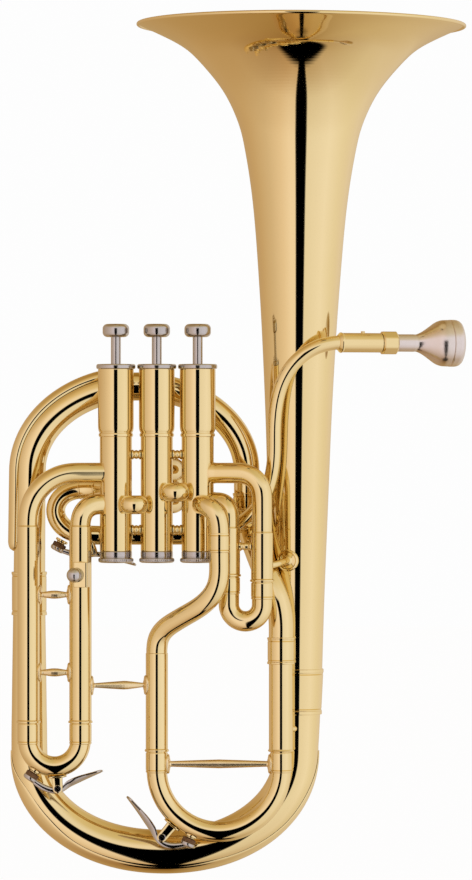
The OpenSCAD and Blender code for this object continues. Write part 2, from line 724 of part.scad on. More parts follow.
// Felt ring in the underside of the button
module valve_felt(i) {
    color("#3a3a3c") translate([valve_at(i)[0], valve_y, button_low + 0.05]) difference() {
        cylinder(h = felt_t, r = 5.1);
        translate([0, 0, -past]) cylinder(h = felt_t + 1, r = stem_d / 2 + 0.1);
    }
}

// Compression spring between the bottom cap and the piston
module valve_spring(i) {
    rings = spring_turns * 12 + 1;
    sides = 6;
    rise = piston_low - seat_z - spring_wire - 0.3;
    centre = [valve_at(i)[0], valve_y, seat_z + spring_wire / 2 + 0.1];
    points = [for (k = [0 : rings - 1], j = [0 : sides - 1])
        let (a = k * 30, b = 360 * j / sides, r = spring_r + spring_wire / 2 * cos(b))
        centre + [r * cos(a), r * sin(a), rise * k / (rings - 1) + spring_wire / 2 * sin(b)]];
    start = [for (j = [sides - 1 : -1 : 0]) j];
    end = [for (j = [0 : sides - 1]) (rings - 1) * sides + j];
    color("#9a9a9e") polyhedron(points, concat(skin(rings, sides, 0, false), [start], [end]), convexity = 12);
}

// --- Water keys ---
// Each holds: pivot, tip of the lever, middle of the bow, angle of the cup from straight down, bow radius, plane
third_key = [[-124.3, third_y, 62.2], [-93.1, third_y, 74.4], [third_left + third_pitch / 2, third_y, 95.3],
    -33, third_pitch / 2];
main_key = [[-52.2, main_y, 27.8], [-76.7, main_y, 55.9], [(main_left + main_right) / 2, main_y, 74.6],
    -23, main_pitch / 2];
lead_key = [[-101, -9.5, 225.8], [-70.5, -9.5, 216.3], [-111.7, -9.5, 253.4], -28, 16.1];

// Outward direction of the cup
function cup_dir(key) = [sin(key[3]), 0, -cos(key[3])];
// Middle of the cork's seat, just off the bow's surface
function cup_at(key, gap) = key[2] + (key[4] + bow_d / 2 + gap) * cup_dir(key);

// Two ears and the pin that carry a lever, soldered to the bow
module key_saddle(key) {
    toward = unit(key[2] - key[0]);
    reach = norm(key[2] - key[0]) - key[4] - bow_d / 2;
    difference() {
        union() {
            for (s = [-1, 1])
                aim(key[0] + [0, s * 3.4, 0] - 2.2 * toward, toward, [0, 1, 0])
                    translate([-0.6, -2.4, 0]) cube([1.2, 4.8, reach + 4.5]);
            rod(key[0] - [0, 4.4, 0], key[0] + [0, 4.4, 0], 1.1);
            aim(cup_at(key, -1.5), cup_dir(key), [0, 1, 0]) cylinder(h = 3, r = 3);
        }
        aim(cup_at(key, -8), cup_dir(key), [0, 1, 0]) cylinder(h = 20, r = 1.6);
        translate(key[2]) rotate([90, 0, 0]) rotate_extrude() translate([key[4], 0]) circle(r = bow_d / 2 + solder);
    }
}

// Flat bar between two points in the plane of the key
module bar(a, b, w, t) {
    aim(a, b - a, [0, 1, 0]) translate([-w / 2, -t / 2, 0]) cube([w, t, norm(b - a)]);
}

module key_lever(key) {
    cup = cup_at(key, 4.2);
    over = key[0] + 0.62 * (key[1] - key[0]);
    difference() {
        union() {
            rod(key[0] - [0, 2.6, 0], key[0] + [0, 2.6, 0], 2.2);
            bar(key[0], cup + 1.2 * cup_dir(key), 3, 1.6);
            bar(key[0], over, 3.6, 1.6);
            bar(over, key[1], 7.5, 1.6);
            aim(cup, cup_dir(key), [0, 1, 0]) cylinder(h = 2.4, r = 4.6);
        }
        rod(key[0] - [0, 3, 0], key[0] + [0, 3, 0], 1.1 + slip);
        aim(cup_at(key, 1.2), cup_dir(key), [0, 1, 0]) cylinder(h = 4.6, r = 3.7);
    }
}

module key_cork(key) {
    aim(cup_at(key, 1.75), cup_dir(key), [0, 1, 0]) cylinder(h = 4, r = 3.6);
}

// --- Lyre holder ---
lyre_x = third_left + third_pitch + 1.2;
lyre_y = third_y - outer_r - 5.2;
lyre_z = [202, 219.5];
module lyre_holder() {
    color("#e4c67e") difference() {
        union() {
            translate([lyre_x, lyre_y, lyre_z[0]]) cylinder(h = lyre_z[1] - lyre_z[0], r = 4.6);
            translate([lyre_x - 6, third_y - outer_r - 2.6, lyre_z[0]]) cube([12, 5, lyre_z[1] - lyre_z[0]]);
        }
        translate([lyre_x, lyre_y, lyre_z[0] - past]) cylinder(h = 20, r = 3);
        translate([third_left + third_pitch, third_y, lyre_z[0] - past]) cylinder(h = 20, r = outer_r + solder);
        lyre_screw_axis(0) cylinder(h = 12, r = 1.5);
    }
}

// Placed on the screw's axis, pointing out of the holder
module lyre_screw_axis(inset) {
    translate([lyre_x, lyre_y, 210.5]) rotate([0, 0, -120]) translate([inset, 0, 0]) rotate([0, 90, 0]) children();
}

module lyre_screw() {
    color("#c9c6c8") lyre_screw_axis(0) {
        translate([0, 0, 3.2]) cylinder(h = 5.3, r = 1.45);
        translate([0, 0, 9.8]) sphere(r = 4.85);
    }
}

bell();
bell_ferrule();
bottom_bow();
bow_guard();
branch_ferrule();
top_bow();
top_bow_guard();
down_tube_ferrule();
down_tube();
tuning_ferrule();
tuning_outer_tubes();
gooseneck();
third_outer_tubes();
first_outer_tubes();
second_outer_tubes();
leadpipe();
mouthpiece_receiver();
mouthpiece();
third_slide_braces();
cross_brace();
bell_brace();
casing_braces();
valve_knuckles();
lyre_holder();
lyre_screw();
tuning_slide();
tuning_slide_brace();
third_slide();
first_slide();
second_slide();
color("#bdb9bd") key_lever(main_key);  // main_key_lever
color("#b98d5a") key_cork(main_key);  // main_key_cork
color("#bdb9bd") key_lever(third_key);  // third_key_lever
color("#b98d5a") key_cork(third_key);  // third_key_cork
color("#bdb9bd") key_lever(lead_key);  // lead_key_lever
color("#b98d5a") key_cork(lead_key);  // lead_key_cork
for (i = [1, 2, 3]) {
    valve_casing(i);
    top_cap(i);
    bottom_cap(i);
    piston(i);
    valve_stem(i);
    finger_button(i);
    valve_spring(i);
    valve_felt(i);
}
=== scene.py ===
"""Baritone horn: the looks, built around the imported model.

Lengths are written in millimetres and scaled to metres when a mesh is made. X runs to the right, Y to the back and
Z up. Valve 1 is the one next to the bell.
"""
from collections import namedtuple
from math import asin, atan2, copysign, cos, pi, radians, sin, sqrt, tan
import bmesh
import bpy
from mathutils import Matrix, Vector


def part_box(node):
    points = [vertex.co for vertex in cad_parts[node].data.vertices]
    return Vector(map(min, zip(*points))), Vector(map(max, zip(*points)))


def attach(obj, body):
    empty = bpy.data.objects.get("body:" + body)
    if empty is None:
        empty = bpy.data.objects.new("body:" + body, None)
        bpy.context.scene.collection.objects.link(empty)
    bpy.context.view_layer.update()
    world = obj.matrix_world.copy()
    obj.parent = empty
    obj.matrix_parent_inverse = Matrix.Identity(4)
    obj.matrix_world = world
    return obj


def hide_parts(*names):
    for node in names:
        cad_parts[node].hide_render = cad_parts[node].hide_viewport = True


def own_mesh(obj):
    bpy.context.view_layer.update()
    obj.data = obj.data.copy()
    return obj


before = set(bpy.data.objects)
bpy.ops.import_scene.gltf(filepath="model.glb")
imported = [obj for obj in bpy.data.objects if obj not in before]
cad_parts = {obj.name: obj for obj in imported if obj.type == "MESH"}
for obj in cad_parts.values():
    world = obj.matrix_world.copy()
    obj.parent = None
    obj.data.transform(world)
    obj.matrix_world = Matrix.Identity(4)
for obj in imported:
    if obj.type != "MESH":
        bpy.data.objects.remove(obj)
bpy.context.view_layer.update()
MM = 0.001
UP, DOWN, ACROSS, BACK = Vector((0, 0, 1)), Vector((0, 0, -1)), Vector((1, 0, 0)), Vector((0, 1, 0))


# ---- Curves ----
def mix(a, b, t):
    """From a at t = 0 to b at t = 1."""
    return a + (b - a) * t


def ease(t):
    """Smooth step from 0 to 1."""
    t = min(max(t, 0.0), 1.0)
    return t * t * (3 - 2 * t)


def sweep(end, steps):
    """Angles from 0 to end, both included."""
    return [end * k / steps for k in range(steps + 1)]


def spline(points, per):
    """Catmull-Rom curve with per steps between neighbouring points."""
    p = [Vector(q) for q in points]
    last = len(p) - 1
    out = []
    for k in range(last * per + 1):
        i = min(k // per, last - 1)
        u = k / per - i
        a, b, c, d = p[max(i - 1, 0)], p[i], p[i + 1], p[min(i + 2, last)]
        out.append(0.5 * (2 * b + (c - a) * u + (2 * a - 5 * b + 4 * c - d) * u ** 2
                          + (3 * b - a - 3 * c + d) * u ** 3))
    return out


def relax(line, passes, keep=3):
    """Evens out the small waves of a curve, with its ends held."""
    for _ in range(passes):
        line = [p if i < keep or i >= len(line) - keep else (line[i - 1] + 2 * p + line[i + 1]) / 4
                for i, p in enumerate(line)]
    return line


def resample(line, step):
    """Points about step apart along a polyline."""
    run = [0.0]
    for a, b in zip(line, line[1:]):
        run.append(run[-1] + (b - a).length)
    count = max(2, round(run[-1] / step))
    out, i = [], 0
    for k in range(count + 1):
        s = run[-1] * k / count
        while i < len(line) - 2 and run[i + 1] < s:
            i += 1
        out.append(line[i].lerp(line[i + 1], (s - run[i]) / max(run[i + 1] - run[i], 1e-9)))
    return out


def bent(points, bend, per):
    """Path through the points with its corners rounded at the radius bend."""
    p = [Vector(q) for q in points]
    out = [p[0]]
    for a, b, c in zip(p, p[1:], p[2:]):
        u, v = (b - a).normalized(), (c - b).normalized()
        turn = u.angle(v)
        cut = bend * tan(turn / 2)
        inward = (v - v.dot(u) * u).normalized()
        for k in range(per + 1):
            w = turn * k / per
            out.append(b - cut * u + bend * (sin(w) * u + (1 - cos(w)) * inward))
    return out + [p[-1]]


def half_round(mid, radius, lead_in, lead_out, per):
    """Half circle below mid in X and Z, with a straight length at each end."""
    arc = [mid + radius * Vector((cos(a), 0, -sin(a))) for a in reversed(sweep(pi, per))]
    return [arc[0] + lead_in * UP] + arc + [arc[-1] + lead_out * UP]


def fillet(points, radius, closed=False, steps=4):
    """Rounds the corners of a 2D outline and adds a point just outside each round."""
    most, blunt, past = 0.45, 0.3, 0.05  # share of a side a round may take; turn left as it is; extra point
    p = [Vector(q) for q in points]
    n = len(p)
    out = []
    for i in range(n):
        if not closed and i in (0, n - 1):
            out.append(p[i])
            continue
        a, b, c = p[i - 1], p[i], p[(i + 1) % n]
        u, v = (b - a).normalized(), (c - b).normalized()
        turn = u.angle(v, 0)
        if turn < blunt:
            out.append(b)
            continue
        r = min(radius, most * (b - a).length / tan(turn / 2), most * (c - b).length / tan(turn / 2))
        cut = r * tan(turn / 2)
        inward = (v - v.dot(u) * u).normalized()
        out.append(b - (cut + past) * u)
        for k in range(steps + 1):
            w = turn * k / steps
            out.append(b - cut * u + r * (sin(w) * u + (1 - cos(w)) * inward))
        out.append(b + (cut + past) * v)
    return out


def held(outline, closed):
    """Adds points near the ends of long straight runs, so that smooth shading stays at the edges."""
    p = [Vector((q[0], q[1])) for q in outline]
    out = []
    for i, a in enumerate(p):
        out.append(a)
        if i == len(p) - 1 and not closed:
            break
        b = p[(i + 1) % len(p)]
        long = (b - a).length
        if long > 1.6:
            near = min(0.3, 0.1 * long) / long
            out += [a.lerp(b, near), a.lerp(b, 1 - near)]
    return out


def place(at, along, side=None):
    """Matrix with +Z along a direction; side is where +X points."""
    z = Vector(along).normalized()
    if side is None:
        side = BACK if abs(z.x) > 0.9 else ACROSS
    x = (side - side.dot(z) * z).normalized()
    y = z.cross(x)
    m = Matrix((x, y, z)).transposed().to_4x4()
    m.translation = Vector(at)
    return m


# ---- Shapes ----
def plate(steps):
    """Way around a thin plate: whether a point is on its outer face, and its place across, from -1 to 1."""
    there = [(True, 2 * k / steps - 1) for k in range(steps + 1)]
    return there + [(False, 1 - 2 * k / steps) for k in range(steps + 1)]


class Shape:
    """Closed skins gathered in millimetres, made into one object."""

    def __init__(self):
        self.verts, self.faces = [], []

    def skin(self, rings, loop=False):
        """Joins rings of points; a loop joins the last to the first, and otherwise both ends are closed."""
        start, n, count = len(self.verts), len(rings[0]), len(rings)
        for ring in rings:
            self.verts.extend(ring)
        for i in range(count if loop else count - 1):
            a, b = start + i * n, start + ((i + 1) % count) * n
            for j in range(n):
                k = (j + 1) % n
                self.faces.append((a + j, a + k, b + k, b + j))
        if not loop:
            self.faces.append(tuple(start + j for j in range(n - 1, -1, -1)))
            self.faces.append(tuple(start + (count - 1) * n + j for j in range(n)))
        return self

    def clear_of(self, post):
        """Keeps the shape out of the bore of an upright casing: points inside move out into its wall."""
        for v in self.verts:
            away = Vector((v.x - post.x, v.y - post.y, 0))
            if away.length < CASING_WALL:
                v += (CASING_WALL / max(away.length, 0.01) - 1) * away
        return self

    def tube(self, line, radii, wall, sides, ref=BACK):
        """Sweeps a circle along a line; with a wall it is hollow and open at both ends."""
        n = len(line)
        if not hasattr(radii, "__len__"):
            radii = [radii] * n
        outer = [section(line, i, radii[i], sides, ref) for i in range(n)]
        if wall:
            inside = [section(line, i, radii[i] - wall, sides, ref) for i in range(n - 1, -1, -1)]
            return self.skin(outer + inside, loop=True)
        return self.skin(outer)

    def lathe(self, outline, at=(0, 0, 0), along=UP, sides=64, side=None, closed=True, wave=None):
        """Turns an outline of (radius, height) points; a closed outline makes a ring. wave adds to the radius."""
        m = place(at, along, side)
        rings = []
        for r, z in held(outline, closed):
            ring = []
            for j in range(sides):
                a = 2 * pi * j / sides
                q = r + (wave(j, r, z) if wave else 0)
                ring.append(m @ Vector((q * cos(a), q * sin(a), z)))
            rings.append(ring)
        return self.skin(rings, loop=closed)

    def ferrule(self, at, height, bore, low, high=None, along=UP, sides=96, band=1.9, proud=0.3):
        """Sleeve over a joint, from radius low to high, with a raised band and a turned line at each end."""
        high = low if high is None else high
        top = height - band
        side = [(low + proud - 0.25, 0), (low + proud, 0.25), (low + proud, band - 0.3), (low, band)]
        side += turned_line(low, band + 0.7) + turned_line(high, top - 1.5)
        side += [(high, top), (high + proud, top + 0.3), (high + proud, height - 0.25), (high + proud - 0.25, height)]
        return self.lathe([(bore, 0)] + side + [(bore, height)], at, along, sides)

    def foot(self, at, toward, radius):
        """Oval pad brazed to an upright tube of that radius, where a rod meets it."""
        tall, wide, thick, around = 6.8, 4.6, 1.5, 48
        side = UP.cross(toward)
        rings = []
        for share, lift in ((1, -0.3), (1, 0.25 * thick), (0.96, 0.6 * thick), (0.86, 0.85 * thick),
                            (0.6, thick), (0.3, 1.35 * thick), (0.02, 1.5 * thick)):
            ring = []
            for j in range(around):
                w = 2 * pi * j / around
                a = share * wide / radius * cos(w)
                ring.append(at + (radius + lift) * (cos(a) * toward + sin(a) * side)
                            + share * tall * sin(w) * UP)
            rings.append(ring)
        return self.skin(rings)

    def leaf(self, line, widths, thick, crowns):
        """Thin curved plate: its edges drop below its middle by the crown."""
        rings = []
        for i in range(len(line)):
            out, up = axes(line, i, BACK)
            ring = []
            for top, v in plate(12):
                edge = 1 - 0.55 * abs(v) ** 6
                ring.append(line[i] + widths[i] / 2 * v * up
                            + (crowns[i] * v * v + (-0.5 if top else 0.5) * thick[i] * edge) * out)
            rings.append(ring)
        return self.skin(rings)

    def rod(self, a, b, radius, sides=24, soft=0.4):
        """Round bar from a to b with softened ends."""
        a, b = Vector(a), Vector(b)
        h = (b - a).length
        return self.lathe([(0, 0)] + fillet([(0.01, 0), (radius, 0), (radius, h), (0.01, h)], soft) + [(0, h)],
                          a, b - a, sides, closed=False)

    def slab(self, line, widths, thick, power, ref=BACK):
        """Sweeps a soft rectangle: widths across ref's direction, thick along the bend."""
        sides, rings = 28, []
        for i in range(len(line)):
            out, up = axes(line, i, ref)
            w, t = widths[i] / 2, thick / 2
            ring = []
            for j in range(sides):
                a = 2 * pi * j / sides
                c, s = cos(a), sin(a)
                ring.append(line[i] + t * copysign(abs(c) ** (2 / power), c) * out
                            + w * copysign(abs(s) ** (2 / power), s) * up)
            rings.append(ring)
        return self.skin(rings)

    def strip(self, line, radii, half_angles, lifts, steps, sink, flat=2.0):
        """Strip hugging the outer side of a bend, half_angles degrees to each side of it."""
        rings = []
        for i in range(len(line)):
            out, up = axes(line, i, BACK)
            ring = []
            for top, s in plate(steps):
                lift = sink + lifts[i] * max(0.0, 1 - abs(s) ** flat) ** (1 / flat) if top else 0.02
                a = radians(s * half_angles[i])
                ring.append(line[i] + (radii[i] + lift) * (cos(a) * out + sin(a) * up))
            rings.append(ring)
        return self.skin(rings)


def turned_line(radius, at):
    """Outline points of a fine groove around a tube."""
    return [(radius, at), (radius - 0.4, at + 0.4), (radius, at + 0.8)]


def axes(line, i, ref):
    """Outward and upward axes of a line's section; with ref along Y, out is the outer side of a bend in X and Z."""
    t = (line[min(i + 1, len(line) - 1)] - line[max(i - 1, 0)]).normalized()
    out = t.cross(ref).normalized()
    return out, out.cross(t)


def section(line, i, radius, sides, ref):
    """Circle of points around one point of a line."""
    out, up = axes(line, i, ref)
    return [line[i] + radius * (cos(2 * pi * j / sides) * out + sin(2 * pi * j / sides) * up) for j in range(sides)]


# ---- Materials ----
def put(node, values):
    """Sets constants on a node's own sockets."""
    for name, value in values.items():
        node.inputs[name].default_value = value


def material(name, base, second, rough, rough_spread, grain=35.0, metallic=1.0, bump=0.02, fine=900.0, coat=0.0,
             sheen=0.0):
    """Metal or soft finish: two tones mixed by slow noise, with roughness and bump from finer noise."""
    m = bpy.data.materials.new(name)
    m.use_nodes = True
    nodes, links = m.node_tree.nodes, m.node_tree.links
    shader = nodes["Principled BSDF"]
    put(shader, {"Metallic": metallic, "Coat Weight": coat, "Coat Roughness": 0.04, "Sheen Weight": sheen})
    where = nodes.new("ShaderNodeTexCoord")

    def noise(scale, detail):
        n = nodes.new("ShaderNodeTexNoise")
        put(n, {"Scale": scale, "Detail": detail})
        links.new(where.outputs["Object"], n.inputs["Vector"])
        return n

    slow, quick = noise(grain, 4), noise(fine, 3)
    tones = nodes.new("ShaderNodeValToRGB")
    low, high = tones.color_ramp.elements
    low.position, high.position = 0.35, 0.68
    low.color, high.color = (*base, 1), (*second, 1)
    links.new(slow.outputs["Fac"], tones.inputs["Fac"])
    links.new(tones.outputs["Color"], shader.inputs["Base Color"])
    spread = nodes.new("ShaderNodeMapRange")
    put(spread, {"To Min": rough, "To Max": rough + rough_spread})
    links.new(noise(grain * 6, 5).outputs["Fac"], spread.inputs["Value"])
    links.new(spread.outputs["Result"], shader.inputs["Roughness"])
    relief = nodes.new("ShaderNodeBump")
    put(relief, {"Strength": bump, "Distance": 0.0004})
    links.new(quick.outputs["Fac"], relief.inputs["Height"])
    links.new(relief.outputs["Normal"], shader.inputs["Normal"])
    return m


BRASS = material("lacquered brass", (0.82, 0.66, 0.335), (0.80, 0.635, 0.305), 0.03, 0.035, grain=9, bump=0.0008,
                 fine=300, coat=0.06)
NICKEL = material("nickel plate", (0.53, 0.49, 0.445), (0.475, 0.44, 0.40), 0.10, 0.07, grain=30, bump=0.004)
SATIN = material("satin silver plate", (0.73, 0.655, 0.59), (0.68, 0.605, 0.545), 0.17, 0.08, grain=50, bump=0.02)
MONEL = material("monel", (0.52, 0.50, 0.47), (0.45, 0.43, 0.41), 0.18, 0.12, grain=60, bump=0.05)
STEEL = material("spring steel", (0.42, 0.41, 0.40), (0.33, 0.32, 0.31), 0.22, 0.12, grain=80, bump=0.05)
FELT = material("felt", (0.045, 0.043, 0.045), (0.09, 0.085, 0.085), 0.9, 0.1, grain=700, metallic=0, bump=0.9,
                fine=2600, sheen=0.4)
CORK = material("cork", (0.16, 0.075, 0.025), (0.075, 0.032, 0.012), 0.75, 0.15, grain=900, metallic=0, bump=0.7,
                fine=1500)
TURNED = material("turned brass", (0.86, 0.70, 0.42), (0.79, 0.62, 0.33), 0.2, 0.1, grain=60, bump=0.05)


def made(shape, name, nodes=(), body="root", finish=BRASS, weld=0.002):
    """Makes a shape's object: riding on a body, standing for the nodes, with its edges over 38 degrees kept crisp."""
    mesh = bpy.data.meshes.new(name)
    mesh.from_pydata([v * MM for v in shape.verts], [], shape.faces)
    bm = bmesh.new()
    bm.from_mesh(mesh)
    bmesh.ops.remove_doubles(bm, verts=bm.verts, dist=weld * MM)
    bmesh.ops.dissolve_degenerate(bm, edges=bm.edges, dist=weld * MM / 2)
    bmesh.ops.recalc_face_normals(bm, faces=bm.faces)
    bm.to_mesh(mesh)
    bm.free()
    mesh.polygons.foreach_set("use_smooth", [True] * len(mesh.polygons))
    mesh.set_sharp_from_angle(angle=radians(38))
    mesh.materials.append(finish)
    piece = bpy.data.objects.new(name, mesh)
    bpy.context.scene.collection.objects.link(piece)
    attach(piece, body)
    if nodes:
        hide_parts(*nodes)
    return piece


# ---- Camera, light and floor ----
def studio():
    """Camera level with the horn's middle, and a floor that looks white but isn't mirrored in the metal."""
    scene = bpy.context.scene
    scene.view_settings.view_transform = "Standard"
    camera = bpy.data.objects.new("camera", bpy.data.cameras.new("camera"))
    sensor, view_height, distance, eye = 36, 0.616, 3.6, (-0.00077, 0.3037)
    camera.data.sensor_width = sensor
    camera.data.lens = sensor / 2 * distance / (view_height / 2)
    camera.location = (eye[0], -distance, eye[1])
    camera.rotation_euler = (pi / 2, 0, 0)
    camera.data.clip_end = 50
    scene.collection.objects.link(camera)
    scene.camera = camera

    floor_mesh = bpy.data.meshes.new("floor")
    half, z = 6, -0.045  # low enough for the slides when they are pulled out
    floor_mesh.from_pydata([(-half, -half, z), (half, -half, z), (half, half, z), (-half, half, z)], [],
                           [(0, 1, 2, 3)])
    floor = bpy.data.objects.new("floor", floor_mesh)
    paper = bpy.data.materials.new("white paper")
    paper.use_nodes = True
    shader = paper.node_tree.nodes["Principled BSDF"]
    put(shader, {"Base Color": (0.03, 0.03, 0.032, 1), "Roughness": 0.9, "Specular IOR Level": 0.0,
                 "Emission Color": (1, 1, 1, 1), "Emission Strength": 0.965})
    floor_mesh.materials.append(paper)
    scene.collection.objects.link(floor)
    floor.visible_glossy = False
    world_light(scene)


def world_light(scene):
    """Two wide soft panels that meet in a dark gap at the front, under a dimmer ceiling."""
    world = bpy.data.worlds.new("studio")
    scene.world = world
    world.use_nodes = True
    nodes, links = world.node_tree.nodes, world.node_tree.links
    nodes.clear()

    def math_node(kind, *values):
        n = nodes.new("ShaderNodeMath")
        n.operation = kind
        for socket, value in zip(n.inputs, values):
            if isinstance(value, (int, float)):
                socket.default_value = value
            else:
                links.new(value, socket)
        return n.outputs[0]

    def ramp(value, stops):
        n = nodes.new("ShaderNodeValToRGB")
        elements = n.color_ramp.elements
        while len(elements) > 1:
            elements.remove(elements[-1])
        for k, (position, colour) in enumerate(stops):
            e = elements[0] if k == 0 else elements.new(position)
            e.position, e.color = position, (*colour, 1)
        links.new(value, n.inputs["Fac"])
        return n.outputs["Color"]

    def blended(kind, a, b):
        n = nodes.new("ShaderNodeMix")
        n.data_type, n.blend_type = "RGBA", kind
        n.inputs["Factor"].default_value = 1
        links.new(a, n.inputs["A"])
        links.new(b, n.inputs["B"])
        return n.outputs["Result"]

    where = nodes.new("ShaderNodeTexCoord")
    split = nodes.new("ShaderNodeSeparateXYZ")
    links.new(where.outputs["Generated"], split.inputs[0])
    x, y, z = split.outputs
    turn = math_node("ARCTAN2", x, math_node("MULTIPLY", y, -1.0))
    around = math_node("MULTIPLY_ADD", turn, 1 / (2 * pi), 0.5)
    rise = math_node("MULTIPLY_ADD", math_node("ARCSINE", z), 1 / pi, 0.5)

    def at(degrees):
        """Place on a ramp around the horn: 0 is the front and 90 the right."""
        return 0.5 + degrees / 360

    def up(degrees):
        """Place on a ramp from straight down, -90, to straight up, 90."""
        return 0.5 + degrees / 180

    dark, full = (0.0, 0.0, 0.0), (1, 1, 1)
    panels = ramp(around, [
        (at(-180), (0.50, 0.33, 0.14)), (at(-158), (0.60, 0.42, 0.24)), (at(-120), (0.69, 0.52, 0.38)),
        (at(-77), (0.80, 0.66, 0.58)), (at(-45), (0.96, 0.82, 0.78)), (at(-25), (1.06, 0.95, 0.98)),
        (at(-11), (1.05, 0.95, 1.0)), (at(11), (0.96, 0.93, 0.97)), (at(62), (1.06, 1.04, 1.14)),
        (at(98), (0.97, 0.93, 0.92)), (at(134), (0.90, 0.83, 0.80)), (at(162), (0.78, 0.66, 0.50)),
        (at(180), (0.50, 0.33, 0.14))])
    heights = ramp(rise, [
        (up(-90), dark), (up(-79), dark), (up(-76), (0.62, 0.5, 0.36)), (up(-50), (0.88, 0.84, 0.78)),
        (up(-20), full), (up(25), full), (up(45), (0.82, 0.74, 0.5)), (up(90), (0.62, 0.5, 0.24))])
    # The gap is 1 outside the strip and 0 inside it
    wide = ramp(around, [(at(-12.2), full), (at(-11), dark), (at(11), dark), (at(12.2), full)])
    tall = ramp(rise, [(up(-90), dark), (up(10), dark), (up(14), full)])
    gap = blended("LIGHTEN", wide, tall)
    light = blended("MULTIPLY", blended("MULTIPLY", panels, heights), gap)

    seen = nodes.new("ShaderNodeBackground")
    seen.inputs["Color"].default_value = (0.985, 0.985, 0.985, 1)
    lit = nodes.new("ShaderNodeBackground")
    links.new(light, lit.inputs["Color"])
    path = nodes.new("ShaderNodeLightPath")
    blend = nodes.new("ShaderNodeMixShader")
    links.new(path.outputs["Is Camera Ray"], blend.inputs["Fac"])
    links.new(lit.outputs[0], blend.inputs[1])
    links.new(seen.outputs[0], blend.inputs[2])
    out = nodes.new("ShaderNodeOutputWorld")
    links.new(blend.outputs[0], out.inputs["Surface"])


studio()

# ---- Bell and main bows ----
WALL = 0.8
CASING_WALL = 10.6  # radius in the middle of a casing's wall
BELL_TOP, BELL_LOW, BOW_Z, BELL_X, BELL_TILT = 593.99, 128.0, 86.5, 41.4, radians(0.4)
# Radius, and depth under the rim
BELL_LINE = [(114.4, 0), (100.6, 6), (84.2, 14.5), (72.3, 24.5), (55.2, 45), (44.6, 66), (38.9, 87), (32.5, 129),
             (27.5, 192), (24.7, 241), (22.8, 283), (21.2, 332), (18.9, 402), (17.5, 465)]
BELL_JOINT_Z = 112
BEAD_AT, BEAD_R = 114.1, 1.3
BELL_AXIS = Vector((sin(BELL_TILT), 0, cos(BELL_TILT)))


def bell():
    """Turned shell from the bow to the rim, with a rolled bead, and the ferrule on its joint."""
    line = relax([Vector((q.x, -q.y)) for q in spline([(a, b, 0) for a, b in BELL_LINE], 10)], 6)
    outer = [p for p in reversed(line) if p.x < BEAD_AT - BEAD_R - 0.6]
    inner = []
    for i, p in enumerate(outer):
        t = (outer[min(i + 1, len(outer) - 1)] - outer[max(i - 1, 0)]).normalized()
        inner.append(p + WALL * Vector((-t.y, t.x)))
    bead = [Vector((BEAD_AT + BEAD_R * cos(a), BEAD_R * sin(a)))
            for a in (radians(205 + 285 * k / 20) for k in range(21))]
    shape = Shape().lathe(outer + bead + inner[::-1], Vector((BELL_X, 0, BOW_Z)) + (BELL_TOP - BOW_Z) * BELL_AXIS,
                          BELL_AXIS, 176, ACROSS)
    made(shape, "bell_flare", ["bell"])
    low = Vector((BELL_X, 0, BOW_Z)) + (BELL_JOINT_Z - BOW_Z) * BELL_AXIS
    made(Shape().ferrule(low, 31.7, 17.0, 17.45, 18.45, BELL_AXIS, 160, 2.6, 0.3), "bell_joint_ferrule",
         ["bell_ferrule"])


BOW_LEFT, BOW_RIGHT, BOW_DROP, BOW_POWER = -145.5, 41.4, 70.6, 2 / 2.1
BRANCH_TOP = 196.5


def bow_point(u):
    """Middle of the bottom bow, from the bell at 0 to the left branch at 1."""
    a, mid, half = pi * u, (BOW_LEFT + BOW_RIGHT) / 2, (BOW_RIGHT - BOW_LEFT) / 2
    c = cos(a)
    return Vector((mid + half * copysign(abs(c) ** BOW_POWER, c), 0,
                   BOW_Z - BOW_DROP * abs(sin(a)) ** BOW_POWER))


def bow_radius(u):
    return 15.6 - 3.1 * u ** 2.5


def bottom_bow():
    """Conical bow with its left branch, the plate under it and the ferrule over it."""
    steps = 150
    line = [bow_point(k / steps) for k in range(steps + 1)]
    radii = [bow_radius(k / steps) for k in range(steps + 1)]
    top = [Vector((mix(BELL_X + 0.25, BELL_X, k / 6), 0, mix(BELL_LOW - 0.5, BOW_Z, k / 6))) for k in range(6)]
    left = [Vector((BOW_LEFT, 0, z)) for z in (92, 100, 112, 126, 140, 154, 168, 182, BRANCH_TOP)]
    grown = [12.48, 12.4, 12.2, 12.08, 11.9, 11.7, 11.5, 11.3, 11.1]
    shape = Shape().tube(relax(top + line + left, 8), [mix(17.2, 15.6, k / 6) for k in range(6)] + radii + grown,
                         WALL, 96)
    made(shape, "bottom_bow_tube", ["bottom_bow"])
    angles = [(8, 0), (30, 0), (38, 0), (46, 0), (52, 0), (54, 0), (56, 0), (60, 0), (70, 0), (60, 0), (9, 0)]
    width = [max(6, v.x) for v in spline([(a, b, 0) for a, b in angles], steps // 10)]
    guard = Shape().strip(line, [r + 0.1 for r in radii], width, [0.45] * (steps + 1), steps=30, flat=14, sink=0.02)
    made(guard, "bottom_bow_guard", ["bow_guard"])
    made(Shape().ferrule((BOW_LEFT, 0, 181.2), 30.3, 11.4, 12.1), "branch_joint_ferrule", ["branch_ferrule"])


ARCH_LEFT, ARCH_RIGHT, ARCH_Z, ARCH_RISE, ARCH_LOW = -144.8, 6.8, 282.0, 59.3, 259.0


def arch_point(u):
    """Middle of the top bow's arch, from left to right; it bulges to the back."""
    a, half = pi * (1 - u), (ARCH_RIGHT - ARCH_LEFT) / 2
    x = (ARCH_LEFT + ARCH_RIGHT) / 2 + half * cos(a)
    t = (x - ARCH_LEFT) / (ARCH_RIGHT - ARCH_LEFT)
    return Vector((x, 2 * t + 2 * sin(pi * t) ** 2, ARCH_Z + ARCH_RISE * sin(a)))


